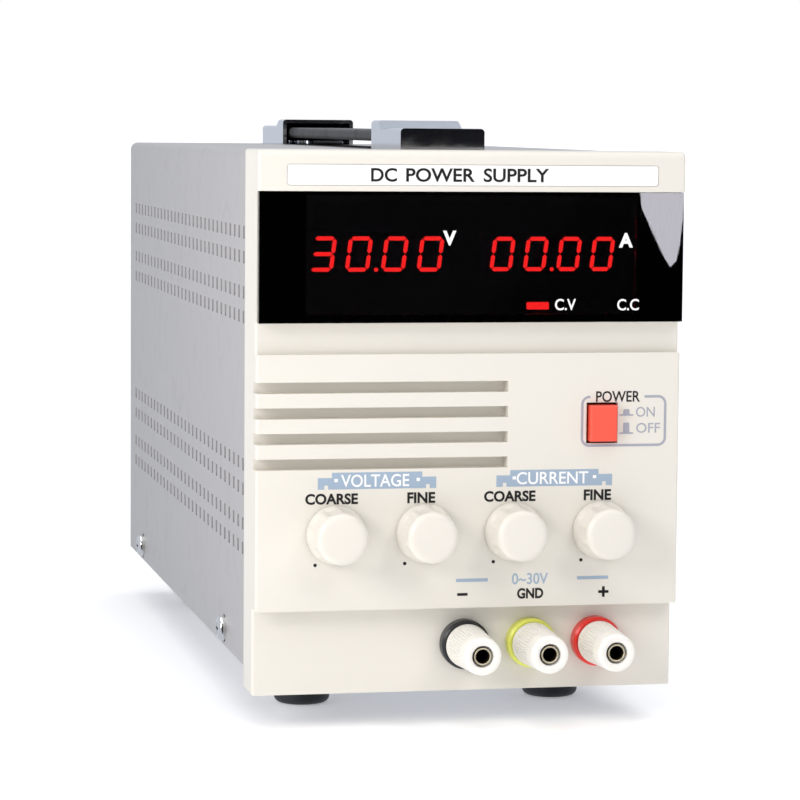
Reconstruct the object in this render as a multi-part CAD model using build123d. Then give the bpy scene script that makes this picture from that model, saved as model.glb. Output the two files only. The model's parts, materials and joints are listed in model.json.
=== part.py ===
from build123d import *
import math
import os

# Bench power supply: a slotted sheet-metal case with a moulded front bezel, red digit display, four
# control knobs, a latching power button, three binding posts, a strap handle and a rear fan.
# While modelling, X runs to the right of the front, Y runs from the front to the back with 0 at the
# joint of bezel and cover, and Z is up with 0 at the lower edge of the bezel. Everything is moved
# once, at the end, so that the origin lies under the middle of the whole box, on the ground.

os.makedirs("parts", exist_ok=True)

# ------------------------------------------------------------------ case
CASE_WIDTH = 125.0
CASE_HEIGHT = 156.8
BODY_LENGTH = 270.5          # the cover, behind the bezel
COVER_SHEET = 1.0
COVER_INSET = 0.5            # the cover stands this far inside the outline of the bezel
COVER_FOLD_R = 2.5
COVER_BOTTOM_Z = 6.0
REAR_LIP = 6.0               # the cover's folded rear edge
REAR_LIP_R = 2.5
CHASSIS_SHEET = 1.2
FLANGE_REACH = 12.0          # flanges of front plate and rear panel on the floor
PLATE_BORDER = 12.5
TRAY_FLANGE = 16.0
SLIDE_CLEARANCE = 0.2        # between sheets that slide into each other
FOOT_DROP = 11.0             # the feet reach this far below the bezel

# ------------------------------------------------------------------ ventilation slots in the cover
SLOT_WIDTH = 3.0
SLOT_HEIGHT = 3.6
SLOT_PITCH = 8.5
SLOT_START = 5.5
SLOT_END_MARGIN = 12.0
SLOT_ROW_PAIR = 7.2          # between the two rows of a pair
SLOT_PAIR_PITCH = 17.4       # between the pairs of a group
SLOT_GROUP_DROPS = (24.3, 91.9)   # upper row of each group below the top of the bezel
DIMPLE_R = 4.5
DIMPLE_DEPTH = 0.5
DIMPLE_FROM_REAR = 38.0
DIMPLE_Z = 85.0

# ------------------------------------------------------------------ bezel
BEZEL_WALL = 2.2
TERMINAL_TOP = 25.1          # heights where the front steps in or out
CONTROL_TOP = 98.7
STRIP_TOP = 107.5
TERMINAL_DEPTH = 14.3        # how far each zone stands in front of the joint
CONTROL_DEPTH = 20.3
STRIP_DEPTH = 18.1
HEAD_DEPTH = 23.1
LABEL_ZONE = 11.6            # height of the band above the window
BEZEL_TOP_R = 2.3
BEZEL_EDGE_R = 0.8
GROOVE_HEIGHT = 3.2
GROOVE_PITCH = 7.3
GROOVE_COUNT = 4
GROOVE_LOW_Z = 65.7
GROOVE_END_X = 11.1
GROOVE_FLOOR = 4.8
BOSS_R = 3.6
BOSS_SIDE = 8.5              # bezel screw bosses from the side of the case
BOSS_END = 7.8               # the upper pair from the top
LOW_BOSS_Z = 12.8
SMALL_BOSS_R = 2.6
CONTROL_BOSS_X = 52.0

# ------------------------------------------------------------------ display
WINDOW_EDGE = 0.3            # the pane ends this far inside the outline of the head
WINDOW_THICK = 2.0
WINDOW_SINK = 0.5
WINDOW_CLEARANCE = 0.15
WINDOW_SEAT = 1.8
SEAT_OPENING = (97.0, 34.0)
LABEL_MARGIN = 8.1
LABEL_HEIGHT = 6.1
LABEL_THICK = 0.5
LABEL_CORNER_R = 1.0
LABEL_DROP = 1.2             # middle of the label below the middle of its band
LABEL_SINK = 0.1             # face of the label behind the face of the head
BOARD_THICK = 1.6
DIGIT_MODULE = (40.2, 12.7, 7.0)
DIGIT_SETBACK = 6.1          # face of the digit modules behind the front of the head
DIGIT_CENTRES_X = (-27.2, 24.4)
DIGIT_Z = 127.1
INDICATOR_SIZE = (6.4, 2.2, 8.0)
INDICATORS_X = (19.8, 38.3)
INDICATOR_Z = 112.3
DISPLAY_BOARD = (113.0, 33.5)
DISPLAY_BOARD_DROP = 0.25    # middle of the display board below the middle of the digits
DISPLAY_BOSS_PLACE = (53.0, 12.0)

# ------------------------------------------------------------------ knobs and potentiometers
KNOB_PITCH = 26.2
KNOB_Z = 47.1
KNOB_BASE_R = 8.6
KNOB_FACE_R = 7.5
KNOB_LENGTH = 12.0
KNOB_GAP = 0.5
KNOB_FACE_ROUND = 0.8
KNOB_SKIRT_DEPTH = 3.4
KNOB_SKIRT_WALL = 1.9
KNOB_BORE_END = 2.2
FLUTE_COUNT = 10
FLUTE_R = 4.5
FLUTE_DEPTH = 0.45
SHAFT_R = 3.0
SHAFT_FLAT = 1.5             # flat of the shaft above its middle
SHAFT_SEAT = 4.2             # reach of the shaft into the potentiometer
RUNNING_CLEARANCE = 0.05
POT_R = 8.2
POT_DEPTH = 9.0
BUSHING_R = 3.5
BUSHING_LENGTH = 5.4
POT_NUT_FLATS = 10.0
POT_NUT_THICK = 2.0
CONTROL_BOARD = (110.0, 26.0)

# ------------------------------------------------------------------ power button and switch
BUTTON_X = 39.2
BUTTON_Z = 78.3
BUTTON_SIZE = (8.0, 10.5)
BUTTON_GAP = 0.7
BUTTON_STAND = 2.6           # pushed in and latched, the button still stands this far out
BUTTON_BLOCK = 7.5
BUTTON_TRAVEL = 3.5          # how much further out it stands when released
STEM_SIDE = 4.0
STEM_LENGTH = 7.0
STEM_CLEARANCE = 0.3
SWITCH_SIZE = (13.0, 26.0, 18.5)
SWITCH_EAR_THICK = 2.0
SWITCH_EAR_REACH = 5.6
SWITCH_BOSS_LENGTH = 4.2

# ------------------------------------------------------------------ binding posts
POST_X = (0.0, 19.7, 39.4)
POST_NAMES = ("negative", "ground", "positive")
POST_Z = 13.8
STUD_R = 2.5
BANANA_BORE_R = 2.05
BANANA_DEPTH = 17.0
COLLAR_R = 7.2
COLLAR_LENGTH = 4.0
COLLAR_SPIGOT_R = 3.9
WASHER_R = 5.0
WASHER_THICK = 0.8
CAP_REAR_R = 6.35
CAP_FRONT_R = 5.45
CAP_LENGTH = 20.0
CAP_MOUTH_R = 3.15
CAP_MOUTH_DEPTH = 3.2
STUD_RECESS = 0.8            # front end of the stud behind the mouth of the cap
FACE_GAP = 0.05              # between flat faces of pieces that move apart
CAP_RIBS = 28
CAP_RIB_DEPTH = 0.3
CAP_RIB_R = 0.55
CAP_PLAIN_ENDS = 3.4         # both ends of the cap together that carry no ribs
CAP_NOSE_ROUND = 0.7
COLLAR_BEVEL = 0.7
COLLAR_GROOVE = (1.2, 2.0, 0.6)   # outer and inner edge from the collar's side, depth
INSULATOR_R = 6.0
INSULATOR_THICK = 2.0
POST_NUT_FLATS = 8.0
POST_NUT_THICK = 3.0
LUG_THICK = 0.8
LUG_R = 4.4
LUG_RISE = 11.0
LUG_HALF = 2.2
STUD_TAIL = 1.2

# ------------------------------------------------------------------ handle
HANDLE_CAP_WIDTH = 25.6
HANDLE_CAP_LENGTH = 44.0
HANDLE_LOW = 6.6
HANDLE_HIGH = 8.9
HANDLE_RAMP_START = 28.0
HANDLE_RAMP_END = 33.0
HANDLE_FRONT_Y = 19.5
HANDLE_SPAN = 248.0
HANDLE_WALL = 1.3
STRAP_WIDTH = 21.0
STRAP_THICK = 3.6
STRAP_LIFT = 2.4
STRAP_REACH = 38.0           # length of the strap hidden in each cap
STRAP_ROOM = 0.4             # between the strap and the cap around it
STRAP_EASE = 2.0             # the strap's ramp starts this much further along than the cap's
STRAP_ROUND = 1.2
HANDLE_ROUND = 1.2
HANDLE_RAMP_SHIFT = 0.6      # inside ramp of the cap, further along than the outside one
STRAP_SLOT = (10.0, 16.0)    # slot in each strap end, around the cap's screw boss
HANDLE_BOSS_R = 4.2
HANDLE_SCREW_IN = 12.0       # handle screws from the outer ends of the caps

# ------------------------------------------------------------------ feet and screws
FOOT_R = 9.0
FOOT_SIDE = 23.6             # foot centres from the sides of the case
FOOT_FRONT_Y = 35.0
FOOT_REAR_MARGIN = 35.0
FOOT_ROUND = 2.0
FOOT_BOTTOM_R = 8.4
FOOT_COUNTERBORE_R = 4.6
FOOT_COUNTERBORE = 11.0
SCREW_R = 2.0
SCREW_HEAD_R = 3.8
SCREW_HEAD_H = 2.2
SCREW_CLEARANCE = 0.2
SMALL_SCREW_R = 1.5
SMALL_HEAD_R = 2.8
SMALL_HEAD_H = 1.8
COVER_SCREW_FRONT_Y = 40.0
COVER_SCREW_REAR_MARGIN = 39.5
COVER_SCREW_Z = 11.2
COVER_SLOT_LENGTH = 8.6      # oblong holes that let the cover settle
COVER_SCREW_LENGTH = 6.0
CHASSIS_SCREW_LENGTH = 8.0
BOARD_SCREW_LENGTH = 5.0
HANDLE_SCREW_LENGTH = 5.5
BRACKET_SCREW_TAIL = 1.5
SCREW_SEAT = 0.02            # thread and bore faces that grip stand this far apart

# ------------------------------------------------------------------ rear panel, fan, inlet and fuse
FAN_SIZE = 80.0
FAN_DEPTH = 25.0
FAN_HOLE_SPACING = 71.5
FAN_DUCT_R = 38.0
FAN_HUB_R = 16.0
FAN_TIP_GAP = 1.2
FAN_AXIAL_GAP = 1.0
FAN_BLADES = 7
FAN_BLADE_THICK = 1.6
FAN_BLADE_ANGLE = 38.0
FAN_STRUT = 3.0
FAN_STRUT_HALF = 2.0
FAN_CORNER_R = 4.0
FAN_PIN_R = 2.0
FAN_PIN_IN = 6.0             # tip of the pin behind the front of the fan
FAN_PIN_ROOM = 0.5
FAN_RIM_ROUND = 1.5
FAN_BLADE_INSET = 0.5        # blades end this far inside both ends of the hub
FAN_BLADE_ROOT = 1.0         # blades reach this far into the hub
FAN_Z = 98.0
GUARD_WIRE_R = 0.9
GUARD_RINGS_R = (12.0, 21.0, 30.0, 38.5)
GUARD_EYE_R = 4.6
GUARD_STAND = 2.6
GUARD_BITE = 0.6             # bars run this far into the eyes and the rings
FAN_SCREW_LENGTH = 30.0
INLET_X = 28.0
INLET_Z = 32.0
INLET_FLANGE = (48.0, 24.0, 3.0)
INLET_BODY = (27.0, 19.4, 20.0)
INLET_CAVITY = (24.2, 16.6, 17.0)
INLET_LIP = 1.5
INLET_SCREW_SPACING = 40.0
INLET_CORNER_R = 3.0
INLET_KEY = 4.0              # slanted lower corners of the socket
PIN_SIZE = (4.0, 2.0)
PIN_SPREAD = 14.0
PIN_DROP = 1.7
PIN_LENGTH = 15.0
PIN_TAIL = 7.0
FUSE_X = -28.0
FUSE_Z = 32.0
FUSE_BODY_R = 6.2
FUSE_BODY_DEPTH = 32.0
FUSE_FLANGE_R = 8.5
FUSE_FLANGE_THICK = 2.0
FUSE_BORE_R = 4.4
FUSE_CAP_R = 7.4
FUSE_CAP_LENGTH = 8.0
FUSE_NECK_R = 4.0
FUSE_NECK_LENGTH = 7.0
FUSE_LINK_R = 2.6
FUSE_LINK_LENGTH = 20.0
FUSE_NUT = (2.4, 3.0)        # rim and length of the nut inside the panel
FUSE_FLOOR = 2.5
FUSE_CAP_ROUND = 0.8
FUSE_RIBS = 18
FUSE_RIB_R = 0.9
FUSE_RIB_OUT = 0.55
FUSE_RIB_PLAIN = 2.4
FUSE_SLOT = (2.2, 1.4, 0.8)  # coin slot: from the side, depth, half width
FUSE_GLASS_IN = 0.2
FUSE_END = 5.0

# ------------------------------------------------------------------ inside the case
CORE_SIZE = (76.0, 38.0, 64.0)
CORE_LEG = 25.4
CORE_YOKE = 12.7
COIL_OVERHANG = 12.0
COIL_CLEARANCE = 0.4
COIL_ROUND = 6.0
BRACKET_SHEET = 1.5
BRACKET_DEPTH = 30.0
BRACKET_FOOT = 10.0
BRACKET_SIDE_GAP = 3.0       # transformer bracket from the tray's left flange
TRANSFORMER_Y = 95.0
MAIN_BOARD = (108.0, 96.0)
MAIN_BOARD_REAR_GAP = 8.0    # main board in front of the fan
SPACER_R = 3.2
SPACER_HEIGHT = 6.0
SPACER_INSET = 5.0
CAPACITOR_R = 14.0
CAPACITOR_HEIGHT = 42.0
CAPACITORS_X = (-34.0, -2.0)
CAPACITOR_Y_IN = 20.0        # capacitor centres behind the board's front edge
TERMINAL_BLOCK = (26.0, 9.0, 12.0)
HEATSINK_SIZE = (98.0, 6.0, 68.0)
HEATSINK_FINS = 13
HEATSINK_FIN_THICK = 1.8
HEATSINK_FIN_LENGTH = 16.0
HEATSINK_REAR_IN = 6.0       # fin tips in front of the board's rear edge
TRANSISTOR_SIZE = (15.8, 5.0, 21.0)
TRANSISTOR_COUNT = 4
TRANSISTOR_PITCH = 23.0
TRANSISTOR_LIFT = 22.0
TRANSISTOR_LEG_PITCH = 5.45
TRANSISTOR_LEG_HALF = 0.6
TRANSISTOR_LEG_IN = (2.8, 2.2)    # both faces of the legs, from the heatsink
HEATSINK_FIN_LIFT = 8.0
CAN_ROUND = 1.5
LEAD_R = 1.4
LEAD_PITCH = 5.0
LEAD_BEND_R = 8.0
LEAD_WALL_GAP = 4.0
LEAD_LUG_DROP = 2.5          # leads meet the lugs this far below their tops
LEAD_RUN = 34.0
LEAD_RUN_STEP = 7.0
LEAD_LEAST_REACH = 12.0
LEAD_SLOPE = 0.6

# ------------------------------------------------------------------ places worked out from the above
HALF_WIDTH = CASE_WIDTH / 2
COVER_HALF = HALF_WIDTH - COVER_INSET
COVER_INNER_HALF = COVER_HALF - COVER_SHEET
COVER_TOP_Z = CASE_HEIGHT - COVER_INSET
CHASSIS_HALF = COVER_INNER_HALF - SLIDE_CLEARANCE
CHASSIS_INNER_HALF = CHASSIS_HALF - CHASSIS_SHEET
FLOOR_TOP_Z = COVER_BOTTOM_Z + CHASSIS_SHEET
PLATE_LOW_Z = FLOOR_TOP_Z
PLATE_HIGH_Z = COVER_TOP_Z - COVER_SHEET - SLIDE_CLEARANCE
REAR_PANEL_Y = BODY_LENGTH - COVER_SHEET - SLIDE_CLEARANCE      # its rear face
REAR_PANEL_FRONT_Y = REAR_PANEL_Y - CHASSIS_SHEET
WINDOW_TOP = CASE_HEIGHT - LABEL_ZONE
LABEL_CENTRE_Z = WINDOW_TOP + LABEL_ZONE / 2 - LABEL_DROP
KNOBS_X = tuple((i - 1.5) * KNOB_PITCH for i in range(4))
KNOB_NAMES = ("voltage_coarse", "voltage_fine", "current_coarse", "current_fine")
FRONT_Y = -CONTROL_DEPTH
CONTROL_INNER_Y = FRONT_Y + BEZEL_WALL
TERMINAL_INNER_Y = -TERMINAL_DEPTH + BEZEL_WALL
SEAT_FRONT_Y = -HEAD_DEPTH + WINDOW_SINK + WINDOW_THICK
SEAT_BACK_Y = SEAT_FRONT_Y + WINDOW_SEAT
DISPLAY_BOARD_Y = -HEAD_DEPTH + DIGIT_SETBACK + DIGIT_MODULE[2]
CAP_REAR_Y = -TERMINAL_DEPTH - COLLAR_LENGTH - 2 * FACE_GAP - WASHER_THICK
CAP_FRONT_Y = CAP_REAR_Y - CAP_LENGTH
STUD_FRONT_Y = CAP_FRONT_Y + STUD_RECESS
STUD_BACK_Y = TERMINAL_INNER_Y + INSULATOR_THICK + 2 * POST_NUT_THICK + LUG_THICK + STUD_TAIL
LUG_Y = TERMINAL_INNER_Y + INSULATOR_THICK + POST_NUT_THICK
FAN_FRONT_Y = REAR_PANEL_FRONT_Y - FAN_DEPTH
FUSE_CAP_BACK_Y = REAR_PANEL_Y + FUSE_FLANGE_THICK + FACE_GAP + FUSE_CAP_LENGTH
BOARD_REAR_Y = FAN_FRONT_Y - MAIN_BOARD_REAR_GAP
BOARD_FRONT_Y = BOARD_REAR_Y - MAIN_BOARD[1]
BOARD_TOP_Z = FLOOR_TOP_Z + SPACER_HEIGHT + BOARD_THICK
MIDDLE_Y = (CAP_FRONT_Y + FUSE_CAP_BACK_Y) / 2
BOSSES = [(side * (HALF_WIDTH - BOSS_SIDE), z) for side in (-1, 1)
          for z in (LOW_BOSS_Z, CASE_HEIGHT - BOSS_END)]
DISPLAY_BOSSES = [(side * DISPLAY_BOSS_PLACE[0], DIGIT_Z + end * DISPLAY_BOSS_PLACE[1])
                  for side in (-1, 1) for end in (-1, 1)]
CONTROL_BOSSES = [(side * CONTROL_BOSS_X, KNOB_Z) for side in (-1, 0, 1)]
SWITCH_BOSSES = [(BUTTON_X, BUTTON_Z + side * (SWITCH_SIZE[2] + SWITCH_EAR_REACH) / 2) for side in (-1, 1)]
FEET = [(side * (HALF_WIDTH - FOOT_SIDE), y) for side in (-1, 1)
        for y in (FOOT_FRONT_Y, BODY_LENGTH - FOOT_REAR_MARGIN)]
COVER_SCREWS_Y = (COVER_SCREW_FRONT_Y, BODY_LENGTH - COVER_SCREW_REAR_MARGIN)
FAN_CORNERS = [(sx * FAN_HOLE_SPACING / 2, FAN_Z + sz * FAN_HOLE_SPACING / 2)
               for sx in (-1, 1) for sz in (-1, 1)]


# ------------------------------------------------------------------ helpers
def block(x0, x1, y0, y1, z0, z1):
    """A box between two corners."""
    return Pos((x0 + x1) / 2, (y0 + y1) / 2, (z0 + z1) / 2) * Box(x1 - x0, y1 - y0, z1 - z0)


def rod(radius, y0, y1, x=0.0, z=0.0):
    """A cylinder along Y from y0 to y1."""
    return Pos(x, (y0 + y1) / 2, z) * Rot(90, 0, 0) * Cylinder(radius, y1 - y0)


def post(radius, z0, z1, x, y):
    """A cylinder along Z from z0 to z1."""
    return Pos(x, y, (z0 + z1) / 2) * Cylinder(radius, z1 - z0)


def taper(radius_front, radius_back, y0, y1, x=0.0, z=0.0):
    """A cone along Y: radius_front at y0, radius_back at y1."""
    return Pos(x, (y0 + y1) / 2, z) * Rot(90, 0, 0) * Cone(radius_back, radius_front, y1 - y0)


def prism(points, half_width):
    """A closed outline of (y, z) points, carried both ways along X."""
    return extrude(Plane.YZ * make_face(Polyline(*points, close=True)), half_width, both=True)


def hexagon_nut(flats, thick, bore_r, y0, x, z):
    """A hexagon nut along Y with its front face at y0."""
    blank = extrude(RegularPolygon(flats / 2, 6, major_radius=False), thick)
    return Pos(x, y0 + thick, z) * Rot(90, 0, 0) * blank - rod(bore_r, y0 - 1, y0 + thick + 1, x, z)


def pan_screw(radius, length, head_r, head_h):
    """A cross-recessed pan-head screw: head above the XY plane, shank below it."""
    head = Pos(0, 0, head_h / 2) * Cylinder(head_r, head_h)
    head = fillet(head.edges().sort_by(Axis.Z)[-1], head_h * 0.6)
    arm = head_r * 0.5
    recess = Box(2 * arm, head_r * 0.2, head_h) + Box(head_r * 0.2, 2 * arm, head_h)
    head -= Pos(0, 0, head_h) * recess
    shank = Pos(0, 0, -length / 2) * Cylinder(radius, length)
    return head + shank


def small_screw():
    """One M3 board screw."""
    return pan_screw(SMALL_SCREW_R, BOARD_SCREW_LENGTH, SMALL_HEAD_R, SMALL_HEAD_H)


def chassis_screw():
    """One M4 chassis screw."""
    return pan_screw(SCREW_R, CHASSIS_SCREW_LENGTH, SCREW_HEAD_R, SCREW_HEAD_H)


FACING_BACK = Rot(-90, 0, 0)     # turns a screw's head from +Z to +Y
FACING_DOWN = Rot(180, 0, 0)


# ------------------------------------------------------------------ casing
def front_bezel():
    """The moulded front: a stepped shell, open at the back, with every opening of the front."""
    outline = [
        (0, 0), (-TERMINAL_DEPTH, 0), (-TERMINAL_DEPTH, TERMINAL_TOP), (-CONTROL_DEPTH, TERMINAL_TOP),
        (-CONTROL_DEPTH, CONTROL_TOP), (-STRIP_DEPTH, CONTROL_TOP), (-STRIP_DEPTH, STRIP_TOP),
        (-HEAD_DEPTH, STRIP_TOP), (-HEAD_DEPTH, CASE_HEIGHT), (0, CASE_HEIGHT),
    ]
    shell = prism(outline, HALF_WIDTH)
    top_edge = [e for e in shell.edges().filter_by(Axis.X)
                if abs(e.center().Y + HEAD_DEPTH) < 0.01 and abs(e.center().Z - CASE_HEIGHT) < 0.01]
    shell = fillet(top_edge, BEZEL_TOP_R)
    side_edges = [e for e in shell.edges()
                  if abs(abs(e.center().X) - HALF_WIDTH) < 0.001 and e.center().Y < -0.001]
    shell = fillet(side_edges, BEZEL_EDGE_R)
    wall = BEZEL_WALL
    hollow = [
        (0.5, wall), (-TERMINAL_DEPTH + wall, wall), (-TERMINAL_DEPTH + wall, TERMINAL_TOP + wall),
        (CONTROL_INNER_Y, TERMINAL_TOP + wall), (CONTROL_INNER_Y, CONTROL_TOP - wall),
        (-STRIP_DEPTH + wall, CONTROL_TOP - wall), (-STRIP_DEPTH + wall, STRIP_TOP + wall),
        (SEAT_BACK_Y, STRIP_TOP + wall), (SEAT_BACK_Y, CASE_HEIGHT - wall), (0.5, CASE_HEIGHT - wall),
    ]
    shell -= prism(hollow, HALF_WIDTH - wall)
    groove_top = GROOVE_LOW_Z + (GROOVE_COUNT - 1) * GROOVE_PITCH + GROOVE_HEIGHT
    floor_y = FRONT_Y + GROOVE_FLOOR
    shell += block(-HALF_WIDTH + wall / 2, GROOVE_END_X + wall, CONTROL_INNER_Y - 0.1, floor_y + wall,
                   GROOVE_LOW_Z - wall, groove_top + wall)
    for x, z in BOSSES:
        front_y = TERMINAL_INNER_Y if z < TERMINAL_TOP else SEAT_BACK_Y
        shell += rod(BOSS_R, front_y - 0.1, 0, x, z)
    for x, z in DISPLAY_BOSSES:
        shell += rod(SMALL_BOSS_R, SEAT_BACK_Y - 0.1, DISPLAY_BOARD_Y, x, z)
    for x, z in CONTROL_BOSSES:
        shell += rod(SMALL_BOSS_R, CONTROL_INNER_Y - 0.1, CONTROL_INNER_Y + POT_DEPTH, x, z)
    for x, z in SWITCH_BOSSES:
        shell += rod(SMALL_BOSS_R, CONTROL_INNER_Y - 0.1, CONTROL_INNER_Y + SWITCH_BOSS_LENGTH, x, z)

    cuts = []
    for i in range(GROOVE_COUNT):
        z = GROOVE_LOW_Z + i * GROOVE_PITCH
        cuts.append(block(-HALF_WIDTH - 1, GROOVE_END_X, FRONT_Y - 1, floor_y, z, z + GROOVE_HEIGHT))
    cuts.append(block(-HALF_WIDTH - 1, HALF_WIDTH + 1, -HEAD_DEPTH - 1, SEAT_FRONT_Y,
                      STRIP_TOP - 1, WINDOW_TOP))
    cuts.append(block(-SEAT_OPENING[0] / 2, SEAT_OPENING[0] / 2, -HEAD_DEPTH, SEAT_BACK_Y + 1,
                      DIGIT_Z - SEAT_OPENING[1] / 2, DIGIT_Z + SEAT_OPENING[1] / 2))
    label = RectangleRounded(CASE_WIDTH - 2 * LABEL_MARGIN, LABEL_HEIGHT, LABEL_CORNER_R)
    recess = extrude(label, LABEL_THICK + 1)
    cuts.append(Pos(0, -HEAD_DEPTH + LABEL_THICK, LABEL_CENTRE_Z) * Rot(90, 0, 0) * recess)
    for x in KNOBS_X:
        cuts.append(rod(BUSHING_R + RUNNING_CLEARANCE, FRONT_Y - 1, CONTROL_INNER_Y + 1, x, KNOB_Z))
    half_button = [side / 2 + BUTTON_GAP for side in BUTTON_SIZE]
    cuts.append(block(BUTTON_X - half_button[0], BUTTON_X + half_button[0], FRONT_Y - 1, CONTROL_INNER_Y + 1,
                      BUTTON_Z - half_button[1], BUTTON_Z + half_button[1]))
    for x in POST_X:
        hole_r = COLLAR_SPIGOT_R + RUNNING_CLEARANCE
        cuts.append(rod(hole_r, -TERMINAL_DEPTH - 1, TERMINAL_INNER_Y + 1, x, POST_Z))
    for x, z in BOSSES:
        cuts.append(rod(SCREW_R, -CHASSIS_SCREW_LENGTH, 1, x, z))
    for x, z in DISPLAY_BOSSES:
        cuts.append(rod(SMALL_SCREW_R, DISPLAY_BOARD_Y - BOARD_SCREW_LENGTH, 1, x, z))
    for x, z in CONTROL_BOSSES:
        cuts.append(rod(SMALL_SCREW_R, CONTROL_INNER_Y + POT_DEPTH - BOARD_SCREW_LENGTH, 1, x, z))
    for x, z in SWITCH_BOSSES:
        cuts.append(rod(SMALL_SCREW_R, CONTROL_INNER_Y + 0.8, 1, x, z))
    return shell - cuts


def top_cover():
    """The slotted cover: top, two sides and a folded lip at the rear, one sheet thick."""
    high = COVER_TOP_Z
    shell = block(-COVER_HALF, COVER_HALF, 0, BODY_LENGTH, COVER_BOTTOM_Z, high)
    long_folds = [e for e in shell.edges().filter_by(Axis.Y) if e.center().Z > high - 0.01]
    shell = fillet(long_folds, COVER_FOLD_R)
    rear_folds = [e for e in shell.edges() if abs(e.center().Y - BODY_LENGTH) < 0.01
                  and e.center().Z > COVER_BOTTOM_Z + 0.01]
    shell = fillet(rear_folds, REAR_LIP_R * 0.9)
    inner_half = COVER_INNER_HALF
    inside = block(-inner_half, inner_half, -1, BODY_LENGTH - COVER_SHEET,
                   COVER_BOTTOM_Z - 1, high - COVER_SHEET)
    inner_folds = [e for e in inside.edges().filter_by(Axis.Y) if e.center().Z > high - COVER_SHEET - 0.01]
    shell -= fillet(inner_folds, COVER_FOLD_R - COVER_SHEET)
    lip_half = COVER_HALF - REAR_LIP
    shell -= block(-lip_half, lip_half, BODY_LENGTH - 2 * COVER_SHEET, BODY_LENGTH + 1,
                   COVER_BOTTOM_Z - 1, high - REAR_LIP)

    cuts = []
    slots = int((BODY_LENGTH - SLOT_START - SLOT_END_MARGIN) / SLOT_PITCH) + 1
    for group in SLOT_GROUP_DROPS:
        for row in (0, SLOT_ROW_PAIR, SLOT_PAIR_PITCH, SLOT_PAIR_PITCH + SLOT_ROW_PAIR):
            z = CASE_HEIGHT - group - row
            for i in range(slots):
                y = SLOT_START + i * SLOT_PITCH
                cuts.append(block(-HALF_WIDTH, HALF_WIDTH, y - SLOT_WIDTH / 2, y + SLOT_WIDTH / 2,
                                  z - SLOT_HEIGHT / 2, z + SLOT_HEIGHT / 2))
    for y in COVER_SCREWS_Y:
        slot = SlotOverall(COVER_SLOT_LENGTH, 2 * (SCREW_R + SCREW_CLEARANCE), rotation=90)
        slot = extrude(Plane.YZ * Pos(y, COVER_SCREW_Z) * slot, HALF_WIDTH, both=True)
        cuts.append(slot)
    ball_r = (DIMPLE_R ** 2 + DIMPLE_DEPTH ** 2) / (2 * DIMPLE_DEPTH)
    for side in (-1, 1):
        cuts.append(Pos(side * (COVER_HALF - DIMPLE_DEPTH + ball_r), BODY_LENGTH - DIMPLE_FROM_REAR, DIMPLE_Z)
                    * Sphere(ball_r))
    for y in handle_screws_y():
        cuts.append(post(SCREW_R + SCREW_CLEARANCE, high - 2 * COVER_SHEET, high + 1, 0, y))
    return shell - cuts


def chassis_tray():
    """The floor of the case with a flange up each side."""
    rear_y = REAR_PANEL_FRONT_Y - SLIDE_CLEARANCE
    front_y = CHASSIS_SHEET + SLIDE_CLEARANCE
    tray = block(-CHASSIS_HALF, CHASSIS_HALF, front_y, rear_y, COVER_BOTTOM_Z, COVER_BOTTOM_Z + TRAY_FLANGE)
    tray -= block(-CHASSIS_INNER_HALF, CHASSIS_INNER_HALF, front_y - 1, rear_y + 1,
                  FLOOR_TOP_Z, COVER_BOTTOM_Z + TRAY_FLANGE + 1)
    cuts = []
    for y in COVER_SCREWS_Y:
        cuts.append(Pos(0, y, COVER_SCREW_Z) * Rot(0, 90, 0) * Cylinder(SCREW_R, CASE_WIDTH))
    for x, y in FEET + transformer_screw_places():
        cuts.append(post(SCREW_R, 0, FLOOR_TOP_Z + 1, x, y))
    for x, y in spacer_places():
        cuts.append(post(SMALL_SCREW_R, 0, FLOOR_TOP_Z + 1, x, y))
    for x, y in flange_screw_places():
        cuts.append(post(SMALL_SCREW_R, 0, FLOOR_TOP_Z + 1, x, y))
    return tray - cuts


def folded_panel(y_plate, y_flange_end):
    """An upright sheet with a flange bent along the floor towards y_flange_end."""
    plate = block(-CHASSIS_HALF, CHASSIS_HALF, y_plate, y_plate + CHASSIS_SHEET, PLATE_LOW_Z, PLATE_HIGH_Z)
    top_corners = [e for e in plate.edges().filter_by(Axis.Y) if e.center().Z > PLATE_HIGH_Z - 0.01]
    plate = chamfer(top_corners, COVER_FOLD_R - COVER_SHEET)
    half = CHASSIS_INNER_HALF - SLIDE_CLEARANCE
    low, high = sorted((y_plate, y_flange_end))
    plate += block(-half, half, low, max(high, y_plate + CHASSIS_SHEET),
                   PLATE_LOW_Z, PLATE_LOW_Z + CHASSIS_SHEET)
    return plate


def flange_screw_places():
    """Where the flanges of the front plate and the rear panel are screwed to the floor."""
    places = []
    for y in (CHASSIS_SHEET + FLANGE_REACH / 2, REAR_PANEL_FRONT_Y - FLANGE_REACH / 2):
        for side in (-1, 1):
            places.append((side * (CHASSIS_INNER_HALF - PLATE_BORDER), y))
    return places


def front_plate():
    """The sheet frame behind the bezel: a border with one large opening for the controls."""
    plate = folded_panel(0, CHASSIS_SHEET + FLANGE_REACH)
    cuts = [block(-CHASSIS_HALF + PLATE_BORDER, CHASSIS_HALF - PLATE_BORDER, -1, CHASSIS_SHEET + 1,
                  PLATE_LOW_Z + PLATE_BORDER, PLATE_HIGH_Z - PLATE_BORDER)]
    for x, z in BOSSES:
        cuts.append(rod(SCREW_R + SCREW_CLEARANCE, -1, CHASSIS_SHEET + 1, x, z))
    for x, y in flange_screw_places()[:2]:
        cuts.append(post(SMALL_SCREW_R + SCREW_CLEARANCE, 0, FLOOR_TOP_Z + 2 * CHASSIS_SHEET, x, y))
    return plate - cuts


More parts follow.
